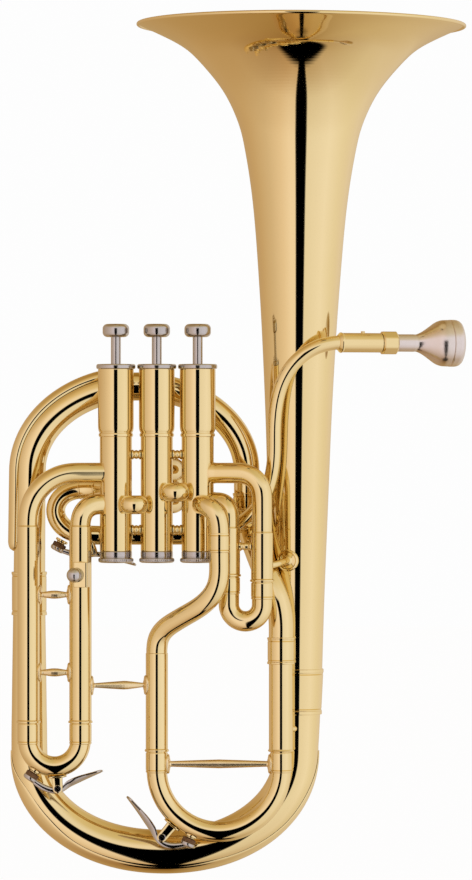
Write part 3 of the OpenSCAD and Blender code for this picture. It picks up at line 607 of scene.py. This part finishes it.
def left_leg(z):
    return Vector((mix(BOW_LEFT, ARCH_LEFT, (z - 196) / 86), 0, z))


def top_bow():
    """Bow over the valves, and the half-round guard for the hand on its left side."""
    steps, guard_step = 120, 1.6
    leg = [left_leg(z) for z in (196.6, 206, 216, 226, 236, 246, 256, 266, 274)]
    line = leg + [arch_point(k / steps) for k in range(steps + 1)]
    line += [Vector((ARCH_RIGHT, 2, z)) for z in (276, 270, 264, ARCH_LOW)]
    radii = [mix(11.1, 10.7, k / 8) for k in range(9)] + [mix(10.7, 9, k / steps) for k in range(steps + 1)] + [9] * 4
    made(Shape().tube(relax(line, 10), radii, WALL, 80), "top_bow_tube", ["top_bow"])
    low = [left_leg(226 + 48 * k / 12) for k in range(12)]
    line = resample(low + [left_leg(274)] + [arch_point(k / steps) for k in range(51)], guard_step)
    n = len(line) - 1
    width, lift = [], []
    for i in range(n + 1):
        s = guard_step * min(i, n - i)
        tip = sqrt(max(0.0, 1 - (1 - min(s / 7.0, 1)) ** 2))
        width.append(8 + 32 * tip)
        lift.append(0.4 + 3.6 * tip)
    made(Shape().strip(line, [mix(11, 10.2, i / n) for i in range(n + 1)], width, lift, steps=26, sink=0.15),
         "top_bow_hand_guard", ["top_bow_guard"])


# ---- Tubing that is soldered to the valves ----
# Radius of a slide's tube, its wall, and radius of the outer tubes
TUBE, WALL_IN, OUTER = 7.1, 0.6, 7.7
# Where each slide's two legs stand; its ring is the open end of the outer tubes, its step their soft upper end
TUNE_X, TUNE_Y, TUNE_RING, TUNE_STEP, TUNE_BOW_Z = (-55.8, 30.5), -25.5, 87, 156.5, 74.6
THIRD_X, THIRD_Y, THIRD_RING, THIRD_STEP, THIRD_BOW_Z = (-144.6, -108.6), -35.0, 107.4, 244.7, 95.3
FIRST_X, FIRST_Y, FIRST_BOW_Z = (-5.65, 17.3), (-37.38, -40.0), 189.7
FIRST_RING, FIRST_STEP = (209, 205.4), (243.7, 240.4)
SECOND_X, SECOND_Z = -45, (260.6, 282.8)
PORT_LOW, PORT_HIGH = 259.3, 280.8


def valve_at(i):
    """Foot of the axis of valve i."""
    return Vector((-27.4 - (i - 1) * 28.4, -28.0, 0))


def leg_tube(shape, at, length, along=DOWN):
    """Outer tube of a slide: soft step at the top, thin line, bead at the open end."""
    outline = [(6.6, 0), (7.15, 0), (7.3, 0.25), (7.0, 0.6), (OUTER - 0.15, 0.95), (OUTER, 1.2),
               (OUTER, length - 2.3), (OUTER - 0.25, length - 2.05), (OUTER + 0.2, length - 1.8),
               (OUTER + 0.62, length - 1.5), (OUTER + 0.72, length - 1.0),
               (OUTER + 0.62, length - 0.45), (OUTER + 0.2, length - 0.05), (OUTER - 0.2, length),
               (7.15, length), (7.15, 2.5), (6.6, 2.5)]
    shape.lathe(outline, at, along)


def sleeve(shape, at, length, along=UP):
    """Sleeve of a slide, with a turned line and softened ends."""
    outline = [(7.0, 0), (7.2, 0.05), (7.62, 0.35), (OUTER, 0.6)] + turned_line(OUTER, 1.3)
    outline += [(OUTER, length - 0.8), (7.4, length - 0.3), (7.0, length - 0.2)]
    shape.lathe(outline, at, along)


def slide_stubs():
    """Tubes between the casings and the slides of the three valves, with the outer tubes."""
    third = Shape()
    for x, start, bend in ((THIRD_X[0], (-90, -28.8, PORT_HIGH), 32), (THIRD_X[1], (-89.5, -27.7, PORT_LOW), 12)):
        line = bent([start, (x, THIRD_Y, start[2]), (x, THIRD_Y, THIRD_STEP - 1.5)], bend, 30)
        third.tube(relax(resample(line, 1.2), 16), TUBE, WALL_IN, 56).clear_of(valve_at(3))
        leg_tube(third, (x, THIRD_Y, THIRD_STEP), THIRD_STEP - THIRD_RING)
    made(third, "third_slide_outer_tubes", ["third_outer_tubes"])

    first, flange = Shape(), 7.5
    for leg, start, bend in ((1, (-21, -29.3, PORT_HIGH), 16), (0, (-20.2, -23.6, PORT_LOW + 1), 8.5)):
        x, y, high = FIRST_X[leg], FIRST_Y[leg], FIRST_STEP[leg]
        line = bent([start, (x, y, start[2]), (x, y, high - 1.5)], bend, 24)
        line = relax(resample(line, 1.0), 12)
        first.tube(line, [flange] * 5 + [7.4, 7.2] + [TUBE] * (len(line) - 7), WALL_IN, 56)
        dome = [(flange * sin(a), -flange * cos(a)) for a in sweep(pi / 2, 16)]
        first.lathe(dome + [(0, 0)], line[0], line[1] - line[0], 56, closed=False)
        first.clear_of(valve_at(1))
        leg_tube(first, (x, y, high), high - FIRST_RING[leg])
    made(first, "first_slide_outer_tubes", ["first_outer_tubes"])

    second = Shape()
    for z in SECOND_Z:
        line = bent([(-50.5, -21.2, z), (SECOND_X, -12, z), (SECOND_X, -0.5, z)], 9, 16)
        second.tube(relax(resample(line, 1.0), 8), TUBE, WALL_IN, 56, ref=UP).clear_of(valve_at(2))
        leg_tube(second, (SECOND_X, -2, z), 22, along=BACK)
    made(second, "second_slide_outer_tubes", ["second_outer_tubes"])


def valve_knuckles():
    """Short crossover tubes in front of two neighbouring casings: a half turn, and an arm back to each casing."""
    knuckles = Shape()
    arm, sides, turn_steps, arm_steps = 5.6, 48, 24, 6
    for x, z, r in ((-71.2, 258.9, 6.5), (-42.9, 267.6, 6.6)):
        pivot = Vector((x, -42.35, z))
        bend, rings = 9.9 - r, []
        for k in range(-arm_steps, turn_steps + 1 + arm_steps):
            a = pi * min(max(k / turn_steps, 0), 1)
            back = arm * (max(-k, 0) + max(k - turn_steps, 0)) / arm_steps
            ring = []
            for j in range(sides):
                b = 2 * pi * j / sides
                reach = max(bend + r * cos(b), 0.02) * (1 - 0.2 * back / arm)
                ring.append(pivot + Vector((-cos(a) * reach, -sin(a) * reach + back,
                                            r * sin(b) * (1 - 0.18 * back / arm))))
            rings.append(ring)
        knuckles.skin(rings)
    for i in (1, 2, 3):
        knuckles.clear_of(valve_at(i))
    made(knuckles, "valve_knuckle_tubes", ["valve_knuckles"], weld=0.0005)


# Middles of the down tube on the right, the gooseneck and the leadpipe
DOWN_LINE = [(6.8, 2, 254), (7.6, 1, 247.5), (10, -3.6, 237.5), (14.6, -12, 225), (19.5, -20.5, 212),
             (24, -24.3, 202), (28, -26.2, 193), (30.6, -26.6, 184), (31, -26.2, 176), (30.5, -25.5, 168.5)]
GOOSE_X, GOOSE_Y = -12.3, -54.2
GOOSE_LINE = [(-24.5, -36, 258.8), (-23.1, -45.6, 259), (-18.8, -52, 257.6), (-14, GOOSE_Y, 252.5),
              (GOOSE_X, GOOSE_Y, 245), (GOOSE_X, GOOSE_Y, 236), (GOOSE_X, GOOSE_Y, 222), (GOOSE_X, -54.1, 209),
              (-15.4, -52.8, 199), (-24.5, -47.6, 189.2), (-38.5, -38.8, 180.6), (-50, -30.8, 173),
              (-55.2, -26.4, 165.5), (-55.8, -25.5, 158)]
LEAD_LINE = [(70.5, -31, 371.3), (59, -33.6, 370), (47, -34.2, 364), (37, -32.8, 354.5), (30.5, -30, 342),
             (27, -27.4, 327), (25.9, -25.2, 310), (25.9, -23.4, 292), (23.8, -21.2, 277), (18.3, -18.8, 262),
             (7.6, -16.9, 248.5), (-8, -12.2, 240), (-27, -8.6, 237.4), (-55, -8.3, 237.2), (-84, -8.3, 237.2),
             (-106, -9.5, 237.4), (-119, -9.6, 240.2), (-126, -9.6, 247.5), (-128, -9.6, 254),
             (-126, -9.6, 261.5), (-119, -9.6, 268), (-108, -10.2, 269.8), (-97, -13, 269.5), (-88.5, -20.5, 269.5)]


def branches():
    """Tubes from the top bow, from valve 1 and from the mouthpiece, and the tuning slide's outer tubes."""
    line = [Vector((6.8, 2, 258.9))] + spline(DOWN_LINE, 8) + [Vector((30.5, -25.5, 158.1))]
    line = relax(resample(line, 2.0), 30)
    n = len(line) - 1
    made(Shape().tube(line, [mix(9, 8.6, k / n) for k in range(n + 1)], WALL, 64), "down_branch", ["down_tube"])
    made(Shape().ferrule((6.8, 2, 254.5), 12, 8.9, 9.65, band=1.3, proud=0.25), "down_branch_ferrule",
         ["down_tube_ferrule"])
    made(Shape().ferrule((TUNE_X[1], TUNE_Y, 148), 18.5, 8.4, 9.3, band=1.5, proud=0.3), "tuning_joint_ferrule",
         ["tuning_ferrule"])

    tuning = Shape()
    leg_tube(tuning, (TUNE_X[0], TUNE_Y, TUNE_STEP), TUNE_STEP - TUNE_RING)
    outline = [(7.15, 0), (8.2, 0.02), (8.75, 0.3), (9.05, 0.9), (8.75, 1.55), (8.45, 1.8), (8.4, 2.1), (8.4, 70.4),
               (8.2, 70.7), (7.15, 70.7)]
    tuning.lathe(outline, (TUNE_X[1], TUNE_Y, TUNE_RING))
    tuning.rod((34, -22, 102.5), (41.5, -13, 102.5), 2.2)
    made(tuning, "tuning_slide_outer_tubes", ["tuning_outer_tubes"])

    goose = Shape()
    line = relax(resample(spline(GOOSE_LINE, 10) + [Vector((-55.8, -25.5, 155.4))], 1.2), 25)
    n = len(line) - 1
    goose.tube(line, [mix(7.1, 7.35, ease((k / n - 0.7) / 0.3)) for k in range(n + 1)], WALL_IN, 56, ref=ACROSS)
    goose.clear_of(valve_at(1))
    outline = [(6.8, 0), (7.2, 0), (7.5, 0.3), (7.5, 0.9)] + turned_line(7.5, 1.3) + turned_line(7.5, 11.4)
    outline += [(7.5, 12.8), (7.2, 13.5), (6.8, 13.5)]
    goose.lathe(outline, (GOOSE_X, GOOSE_Y, 226), UP, 72)
    made(goose, "gooseneck_tube", ["gooseneck"])

    lead = Shape()
    line = relax(resample(spline(LEAD_LINE, 10), 1.4), 40)
    n = len(line) - 1
    lead.tube(line, [mix(4.9, 6.6, ease((k / n - 0.3) / 0.32)) for k in range(n + 1)], WALL_IN, 56)
    ring = fillet([(6.4, 0), (7.15, 0), (7.15, 1.2), (6.4, 1.2)], 0.4, closed=True)
    for share in (0.70, 0.765, 0.93, 0.965):
        k = round(share * n)
        lead.lathe(ring, line[k], line[k + 1] - line[k - 1])
    made(lead.clear_of(valve_at(3)), "leadpipe_tube", ["leadpipe"])


# ---- Receiver and mouthpiece ----
MOUTH_TURN = radians(18)
MOUTH_AXIS = Vector((cos(MOUTH_TURN), sin(MOUTH_TURN), 0))
RECEIVER = Vector((70.5, -31, 371.3))


def mouthpiece_receiver():
    """Tube that holds the mouthpiece, with an octagonal collar and a small screw."""
    receiver = Shape()
    outline = [(4.2, -0.6), (5.4, -0.5), (6.2, 0.2), (7.0, 1.0), (7.15, 1.6), (6.95, 2.3), (6.72, 2.9), (6.75, 3.4),
               (6.75, 31.0), (5.6, 31.0), (5.2, 12), (4.2, 12)]
    receiver.lathe(fillet(outline, 0.25, closed=True), RECEIVER, MOUTH_AXIS, side=UP)
    sides, half = 96, pi / 8

    def octagon(j, r, z):
        facet = cos(half) / cos((2 * pi * j / sides + half) % (2 * half) - half)
        return r * (mix(1, min(facet * 1.03, 1.0), ease((r - 6.9) / 1.3)) - 1)

    outline = [(5.9, 0), (7.0, 0.0), (7.65, 0.5), (8.3, 1.0), (8.3, 10.1), (7.7, 10.6), (7.0, 11.2), (6.2, 11.2)]
    receiver.lathe(outline, RECEIVER + 31.3 * MOUTH_AXIS, MOUTH_AXIS, sides, UP, wave=octagon)
    screw = RECEIVER + 17.8 * MOUTH_AXIS
    receiver.rod(screw + 6.2 * UP, screw + 8.0 * UP, 1.4, 20, 0.3)
    made(receiver, "mouthpiece_receiver_tube", ["mouthpiece_receiver"])


def cup_mouthpiece():
    """Shank, turned cup and rim outside, and the cup and bore inside."""
    depth, rim_x = 20.1, 155.1  # how far the shank goes in, and where the rim ends
    seat = RECEIVER + depth * MOUTH_AXIS
    length = (rim_x - RECEIVER.x) / MOUTH_AXIS.x - depth
    flare = spline([(6.1, length - 34, 0), (6.15, length - 31.4, 0), (8.0, length - 27.2, 0), (11.4, length - 21.9, 0),
                    (14.5, length - 17.3, 0), (15.95, length - 13.4, 0), (16.25, length - 9.4, 0)], 6)
    outer = [(5.25, 0), (6.05, 24.2)] + [(v.x, v.y) for v in flare] + [
        (16.25, length - 8.6), (15.8, length - 8.2), (16.3, length - 7.8), (16.4, length - 7.1), (16.4, length - 4),
        (16.25, length - 2.6), (15.8, length - 1.3), (15.1, length - 0.4), (14.3, length), (13.6, length - 0.3),
        (13.0, length - 1.1), (12.6, length - 2.2)]
    cup = [(mix(12.4, 2.7, (k / 14) ** 2.0), length - 2.6 - 14.5 * sin(pi / 2 * k / 14))
           for k in range(1, 15)]
    bore = [(2.1, length - 19), (2.3, length - 30), (2.6, 20), (3.6, 0)]
    made(Shape().lathe(outer + cup + bore, seat, MOUTH_AXIS, 128, UP), "cup_mouthpiece",
         ["mouthpiece"], "mouthpiece", SATIN)


# ---- Valves ----
def knurl(j, r, z):
    """Grip of a lower cap: coarse teeth on its widest part."""
    return 0.12 * (1 if j % 4 in (1, 2) else -1) if 219.4 < z < 221.2 and r > 12 else 0.0


def valves():
    """Casings, caps and what moves in them, with the spools that brace the casings to each other."""
    for i in (1, 2, 3):
        at, body = valve_at(i), f"valve_{i}"
        casing = Shape()
        outline = [(10.05, 226.6), (11.05, 226.6), (11.15, 226.9), (11.15, 305.6), (11.25, 305.9), (11.75, 306.2),
                   (11.95, 306.8), (11.95, 307.6), (11.75, 308.2), (11.35, 308.4), (11.3, 308.7), (11.55, 309.2),
                   (11.95, 310.0), (12.22, 311.2), (12.37, 312.8), (12.4, 314.5), (12.4, 352.6), (12.3, 353.0),
                   (10.05, 353.0)]
        casing.lathe(outline, at, UP, 96)
        made(casing, f"casing_{i}", [f"valve_casing_{i}"])

        cap = [(3.75, 353.3), (3.75, 355.9), (4.6, 356.35), (10.6, 356.45), (12.6, 356.4), (13.2, 356.1),
               (13.55, 355.5), (13.6, 354.8), (13.6, 354.1), (13.45, 353.5), (13.0, 353.15), (9.9, 353.1),
               (9.8, 348.2), (8.9, 348.2), (8.9, 352.9), (4, 352.9)]
        made(Shape().lathe(fillet(cap, 0.25, closed=True, steps=3), at, UP, 96), f"upper_cap_{i}", [f"top_cap_{i}"],
             finish=NICKEL)

        cap = [(2.2, 218.9), (9.2, 218.4), (10.4, 218.45), (11.3, 218.75), (11.95, 219.2), (12.1, 219.6), (12.1, 221.0),
               (11.9, 221.5), (11.35, 221.8), (11.0, 222.1), (11.0, 222.5), (11.2, 222.8), (11.2, 226.0),
               (10.9, 226.45), (9.95, 226.55), (9.9, 231.3), (8.9, 231.3), (8.85, 222.5), (2.2, 222.4)]
        made(Shape().lathe(fillet(cap, 0.12, closed=True, steps=2), at, UP, 240, wave=knurl), f"lower_cap_{i}",
             [f"bottom_cap_{i}"], finish=NICKEL)

        stem = [(0, 330.0), (1.9, 330.0), (1.9, 334.1), (3.3, 334.15), (3.45, 334.4), (3.45, 374.2), (3.45, 375.1),
                (0, 375.1)]
        made(Shape().lathe(stem, at, UP, 48, closed=False), f"stem_{i}", [f"valve_stem_{i}"],
             body, NICKEL)
        pill = [(0, 377.6), (3.5, 377.6), (3.55, 375.3), (3.6, 375.25), (3.65, 377.6), (5.15, 377.6), (5.2, 375.35),
                (5.5, 375.2)]
        quarter = sweep(pi / 2, 10)
        pill += [(5.9 + 3.3 * sin(a), 378.5 - 3.3 * cos(a)) for a in quarter]
        pill += [(5.9 + 3.3 * cos(a), 381.0 + 3.3 * sin(a)) for a in quarter]
        pill += [(5.2, 384.25), (3.6, 384.05), (1.8, 383.85), (0, 383.8)]
        made(Shape().lathe(pill, at, UP, 72, closed=False), f"button_{i}", [f"finger_button_{i}"],
             body, NICKEL)
        felt = fillet([(3.7, 375.3), (5.1, 375.3), (5.1, 377.4), (3.7, 377.4)], 0.3, closed=True)
        made(Shape().lathe(felt, at, UP, 48), f"felt_{i}", [f"valve_felt_{i}"], body, FELT)
        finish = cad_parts[f"piston_{i}"].data.materials
        finish.clear()
        finish.append(MONEL)
        return_spring(i)

    braces = Shape()
    half = [(0, 3.05), (3.3, 3.05), (3.4, 2.7), (3.35, 2.2), (2.95, 1.75), (2.6, 1.5), (2.75, 1.1), (3.05, 0.5)]
    spool = [(r, -h) for r, h in half] + [(3.1, 0)] + half[::-1]
    for i in (1, 2):
        for z in (293.6, 241.5):
            braces.lathe(spool, (valve_at(i) + valve_at(i + 1)) / 2 + z * UP, ACROSS, 40, closed=False)
    made(braces, "casing_brace_spools", ["casing_braces"])


def return_spring(i):
    """Coil under the piston, spanning the height of the spring part's box, with a mesh of its own."""
    lo, hi = (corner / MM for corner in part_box(f"valve_spring_{i}"))
    wire, turns, travel, spare, at = 0.5, 9, 16, 0.3, valve_at(i)
    coil, steps = (hi.x - lo.x) / 2 - wire, 28 * turns
    line = [Vector((at.x + coil * cos(a), at.y + coil * sin(a), mix(lo.z + wire, hi.z - wire, k / steps)))
            for k, a in ((k, 2 * pi * turns * k / steps) for k in range(steps + 1))]
    spring = made(Shape().tube(line, wire, 0, 10, ref=UP), f"return_spring_{i}", [f"valve_spring_{i}"], finish=STEEL)
    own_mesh(spring)


# ---- Slides ----
def slides():
    """The four slides: bow, legs that run up inside the outer tubes, and sleeves under the rings."""
    for name, node, body, xs, top, ring, key, per in (
            ("third_slide_bow", "third_slide", "slide_3", THIRD_X, 224, THIRD_RING, THIRD_KEY, 64),
            ("tuning_slide_bow", "tuning_slide", "main_slide", TUNE_X, 142, TUNE_RING, MAIN_KEY, 96)):
        shape, leg = Shape(), top - key.middle.z
        shape.tube(half_round(key.middle, key.radius, leg, leg, per), TUBE, WALL_IN, 56)
        for x in xs:
            sleeve(shape, (x, key.middle.y, ring - 14.5), 14.3)
        key_saddle(shape, key)
        made(shape, name, [node], body)

    first = Shape()
    left, right = [Vector((x, y, FIRST_BOW_Z)) for x, y in zip(FIRST_X, FIRST_Y)]
    turn = Matrix.Rotation(atan2(left.y - right.y, left.x - right.x) - pi, 3, "Z")
    line = half_round(Vector((0, 0, 0)), 11.55, 238 - FIRST_BOW_Z, 236 - FIRST_BOW_Z, 48)
    first.tube([(left + right) / 2 + turn @ q for q in line], TUBE, WALL_IN, 56)
    for x, y, ring in zip(FIRST_X, FIRST_Y, FIRST_RING):
        sleeve(first, (x, y, ring - 12), 11.8)
    made(first, "first_slide_bow", ["first_slide"], "slide_1")

    second = Shape()
    low, high = [Vector((SECOND_X, 1.3, z)) for z in SECOND_Z]
    arc = [Vector((SECOND_X, 28 + 11.1 * sin(a), 271.7 - 11.1 * cos(a)))
           for a in sweep(pi, 48)]
    second.tube([low] + arc + [high], TUBE, WALL_IN, 56, ref=ACROSS)
    for z in SECOND_Z:
        sleeve(second, (SECOND_X, 20.1, z), 6, BACK)
    made(second, "second_slide_bow", ["second_slide"], "slide_2")

    brace = Shape()
    cross_rod(brace, Vector((TUNE_X[0], TUNE_Y, 78.6)), Vector((TUNE_X[1], TUNE_Y, 78.6)), 2.0, 3.1)
    made(brace, "tuning_slide_cross_rod", ["tuning_slide_brace"], "main_slide", TURNED)


def cross_rod(shape, a, b, thin, thick, skew=0.5):
    """Turned rod between two tubes, thickest at skew, with an oval foot on each."""
    d, inset = (b - a).normalized(), 7.4
    start, span = a + inset * d, (b - a).length - 2 * inset
    bulge = span * skew
    body = [(0, 0), (thin * 1.5, 0), (thin * 1.35, 1.4), (thin * 1.05, 2.1), (thin, 2.8),
            (mix(thin, thick, 0.6), bulge * 0.6), (thick * 0.97, bulge - 2.2), (thick, bulge),
            (thick * 0.97, bulge + 2.2),
            (mix(thin, thick, 0.6), mix(bulge, span, 0.4)), (thin, span - 2.8), (thin * 1.05, span - 2.1),
            (thin * 1.35, span - 1.4), (thin * 1.5, span), (0, span)]
    shape.lathe(body, start, d, 40, closed=False)
    shape.foot(a, d, OUTER - 0.05)
    shape.foot(b, -d, OUTER - 0.05)


def braces():
    """Turned rods of the third slide and the tuning tube, and the arm from the first slide to the bell."""
    third = Shape()
    for z in (142.6, 196.5):
        cross_rod(third, Vector((THIRD_X[0], THIRD_Y, z)), Vector((THIRD_X[1], THIRD_Y, z)), 1.9, 2.85)
    made(third, "third_slide_cross_rods", ["third_slide_braces"], finish=TURNED)
    cross = Shape()
    cross_rod(cross, Vector((THIRD_X[1], THIRD_Y, 133.5)), Vector((TUNE_X[0], TUNE_Y, 133.5)), 1.6, 3.0, 0.6)
    made(cross, "cross_brace_rod", ["cross_brace"], finish=TURNED)

    bell_side = Shape()
    foot = Vector((35.2, -18.5, 219.8))
    toward = Vector((0.36, 0.93, 0)).normalized()
    line = spline([(22.5, FIRST_Y[1] + 4.2, 217), (27, -32, 217.6), (31, -25, 218.5), foot], 6)
    bell_side.tube(relax(resample(line, 0.8), 4), 2.4, 0, 24, ref=UP)
    pad = [(0.01, 2.6), (0.01, -2.4), (2.6, -2.3), (3.3, -1.6), (3.7, -1.0), (5.6, -0.8), (6.0, -0.3), (6.4, -0.8),
           (7.1, -0.7), (7.6, -0.1), (7.6, 2.6)]
    bell_side.lathe(pad, foot, toward, closed=False)
    a, b = Vector((FIRST_X[0], FIRST_Y[0], 230)), Vector((FIRST_X[1], FIRST_Y[1], 230))
    spool = [(0, -0.3), (3.3, -0.3), (3.1, 0.7), (2.5, 1.2), (2.3, 2.0), (2.6, 3.2), (2.7, 3.85), (2.6, 4.5),
             (2.3, 5.7), (2.5, 6.5), (3.1, 7.0), (3.3, 8.0), (0, 8.0)]
    bell_side.lathe(spool, a + OUTER * (b - a).normalized(), b - a, 40, closed=False)
    made(bell_side, "bell_brace_arm", ["bell_brace"])


# ---- Water keys ----
# angle is the cup's, in degrees from straight down; middle and radius are the bow's; hang is how far the lever's
# middle lies outside its pivot
Key = namedtuple("Key", "pivot tip middle angle radius hang")
THIRD_KEY = Key(Vector((-124.3, THIRD_Y, 62.2)), Vector((-93.1, THIRD_Y, 74.4)),
                Vector((-126.6, THIRD_Y, THIRD_BOW_Z)), -33, 18, 1.7)
MAIN_KEY = Key(Vector((-52.2, TUNE_Y, 27.8)), Vector((-76.7, TUNE_Y, 55.9)),
               Vector((-12.65, TUNE_Y, TUNE_BOW_Z)), -23, 43.15, 3.4)
LEAD_KEY = Key(Vector((-101, -9.5, 225.8)), Vector((-70.5, -9.5, 216.3)), Vector((-111.7, -9.5, 253.4)), -28, 16.1, 1.7)


def cup_dir(key):
    """Direction in which the key's cup lies from the middle of its bow."""
    a = radians(key.angle)
    return Vector((sin(a), 0, -cos(a)))


def cup_at(key, gap):
    """Middle of the cup, at that gap outside the bow."""
    return key.middle + (key.radius + TUBE + gap) * cup_dir(key)


def key_saddle(shape, key):
    """Base plate along the bow, two ears with round ends, and the nipple under the cork."""
    pivot, middle, bow = key.pivot, key.middle, key.radius + TUBE
    toward = (middle - pivot).normalized()
    reach = (middle - pivot).length - bow
    start = atan2(pivot.x - middle.x, middle.z - pivot.z)
    span = 6.6 / bow  # half the plate's length, as an angle
    arc = [start + span * (k / 10 - 1) for k in range(21)]
    base = [middle + (bow + 0.35) * Vector((sin(a), 0, -cos(a))) for a in arc]
    shape.slab(base, [9.4 * sqrt(max(0.1, 1 - abs(k / 10 - 1) ** 5)) for k in range(21)], 1.5, 4)
    side = toward.cross(BACK)
    for s in (-1, 1):
        hub = pivot + s * 3.5 * BACK
        line = [hub + toward * t for t in (-3.2, -3.05, -2.5, -1.5, 0, reach * 0.6, reach + 0.6)]
        shape.slab(line, [1.2, 2.8, 4.9, 6.2, 6.8, 7.0, 7.6], 1.5, 2.4, ref=side)
    outline = [(1.6, -1.2), (4.4, -1.2), (4.4, 0.1), (4.1, 0.4), (3.1, 0.6), (2.9, 1.6), (1.6, 1.6)]
    shape.lathe(outline, cup_at(key, 0), cup_dir(key), 48)


def key_screw(key, name, body):
    """Pivot screw across both ears, with a slotted head at the front."""
    shape = Shape().rod(key.pivot + 4.6 * BACK, key.pivot - 4.0 * BACK, 1.2, 24, 0.25)
    for s in (-1, 1):
        rings = []
        for lift, grow in ((0, 1), (0.55, 1), (0.85, 0.86)):
            mid = key.pivot - 4.05 * BACK - lift * BACK
            rings.append([mid + Vector((x, 0, z)) for x, z in half_disc(2.55 * grow, 0.3, s)])
        shape.skin(rings)
    made(shape, name, (), body, NICKEL)


def half_disc(radius, gap, s):
    """Outline of half a screw head beside its slot."""
    edge = asin(gap / radius)
    return [(s * radius * sin(edge + a), radius * cos(edge + a)) for a in sweep(pi - 2 * edge, 20)]


def water_key(key, name, body):
    """Lever with its cup, hub and wire spring, and the cork under the cup."""
    pivot, tip, out, hang = key.pivot, key.tip, cup_dir(key), key.hang
    cup = cup_at(key, 6.0)
    run = (tip - pivot).normalized()
    away = (pivot - key.middle).normalized()
    reach = (tip - pivot).length
    line = [cup, cup.lerp(pivot, 0.5) + (hang + 1.4) * away, pivot + hang * away + run * 0.5,
            pivot + run * reach * 0.3 + away * 0.75 * hang, pivot + run * reach * 0.62 + away * 0.3 * hang,
            tip - run * 3, tip]
    line = relax(resample(spline(line, 10), 0.7), 10, 1)
    n = len(line) - 1
    run_in = (line[0] - pivot).length
    split = run_in / (run_in + reach)
    widths, thick, crowns = [], [], []
    sign = -1.0 if axes(line, n // 2, BACK)[0].dot(away) > 0 else 1.0
    for k in range(n + 1):
        t = (k / n - split) / (1 - split)  # 0 at the pivot, 1 at the tip
        end = sqrt(max(0.04, 1 - max(0.0, (t - 0.88) / 0.12) ** 2))
        spread = ease((t - 0.1) / 0.35) * (1 - 0.25 * ease((t - 0.5) / 0.5))
        widths.append((5.4 if t < 0 else mix(5.4, 9.4, spread)) * end)
        thick.append(mix(mix(3.4, 4.4, ease(k / n / split * 1.6)), 1.7, ease((t + 0.05) / 0.35)) * (0.5 + 0.5 * end))
        crowns.append(sign * 3.4 * ease(t / 0.3) * mix(1, 0.25, ease((t - 0.35) / 0.65)) * end)
    lever = Shape().leaf(line, widths, thick, crowns)
    lever.rod(pivot - 2.75 * BACK, pivot + 2.75 * BACK, 2.4, 36, 0.3)
    rim = [(0, 1.6), (3.4, 1.6), (4.4, 1.25), (5.0, 0.6), (5.1, -0.2), (5.1, -1.2), (4.9, -1.4), (4.4, -1.4),
           (0, -1.3)]
    lever.lathe(rim, cup, out, 56, closed=False)
    wire = [pivot + 2.2 * s * BACK + 2.6 * (cos(a) * run - sin(a) * away) for s, a in
            ((1 - k / 20, 2 * pi * 3 * k / 40) for k in range(41))]
    lever.tube(wire, 0.35, 0, 8, ref=BACK)
    made(lever, name + "_arm", [body + "_lever"], body, NICKEL)
    pad = fillet([(0.01, 1.7), (4.6, 1.7), (4.75, 2.3), (4.75, 4.7), (0.01, 4.8)], 0.3)
    made(Shape().lathe(pad, cup_at(key, 0), out, 48, closed=False), name + "_pad", [body + "_cork"], body, CORK)


def water_keys():
    for key, name, body, base in ((THIRD_KEY, "third", "third_key", "slide_3"),
                                  (MAIN_KEY, "main", "main_key", "main_slide"),
                                  (LEAD_KEY, "leadpipe", "lead_key", "root")):
        water_key(key, name + "_water_key", body)
        key_screw(key, name + "_key_screw", base)
    saddle = Shape()
    key_saddle(saddle, LEAD_KEY)
    made(saddle, "leadpipe_key_saddle")


# ---- Lyre holder ----
def lyre():
    """Socket block, square with soft corners outside and round inside, and its ball-headed screw."""
    half, sides, power, low, high = 5.2, 96, 9, 202.0, 219.5
    x, y = THIRD_X[1] + 1.2, THIRD_Y - OUTER - half

    def square(j, r, z):
        a = 2 * pi * j / sides + radians(9)
        return r * ((abs(cos(a)) ** power + abs(sin(a)) ** power) ** (-1 / power) - 1) if r > 4 else 0

    side = fillet([(3, 0), (half, 0), (half, high - low), (3, high - low)], 0.5, closed=True)
    made(Shape().lathe(side, (x, y, low), sides=sides, wave=square), "lyre_socket_block", ["lyre_holder"])
    angle, ball = radians(-120), 5.2
    axis = Vector((cos(angle), sin(angle), 0))
    at = Vector((x, y, 210.5))
    profile = [(0, 3.25), (1.3, 3.25), (1.45, 3.6), (1.45, 5.2)]
    profile += [(ball * sin(a), 9.8 - ball * cos(a))
                for a in (radians(30 + 150 * k / 20) for k in range(21))]
    made(Shape().lathe(profile, at, axis, 48, closed=False), "lyre_thumb_screw", ["lyre_screw"],
         "lyre_screw", NICKEL)


bell()
bottom_bow()
top_bow()
slide_stubs()
valve_knuckles()
branches()
mouthpiece_receiver()
cup_mouthpiece()
valves()
slides()
braces()
water_keys()
lyre()
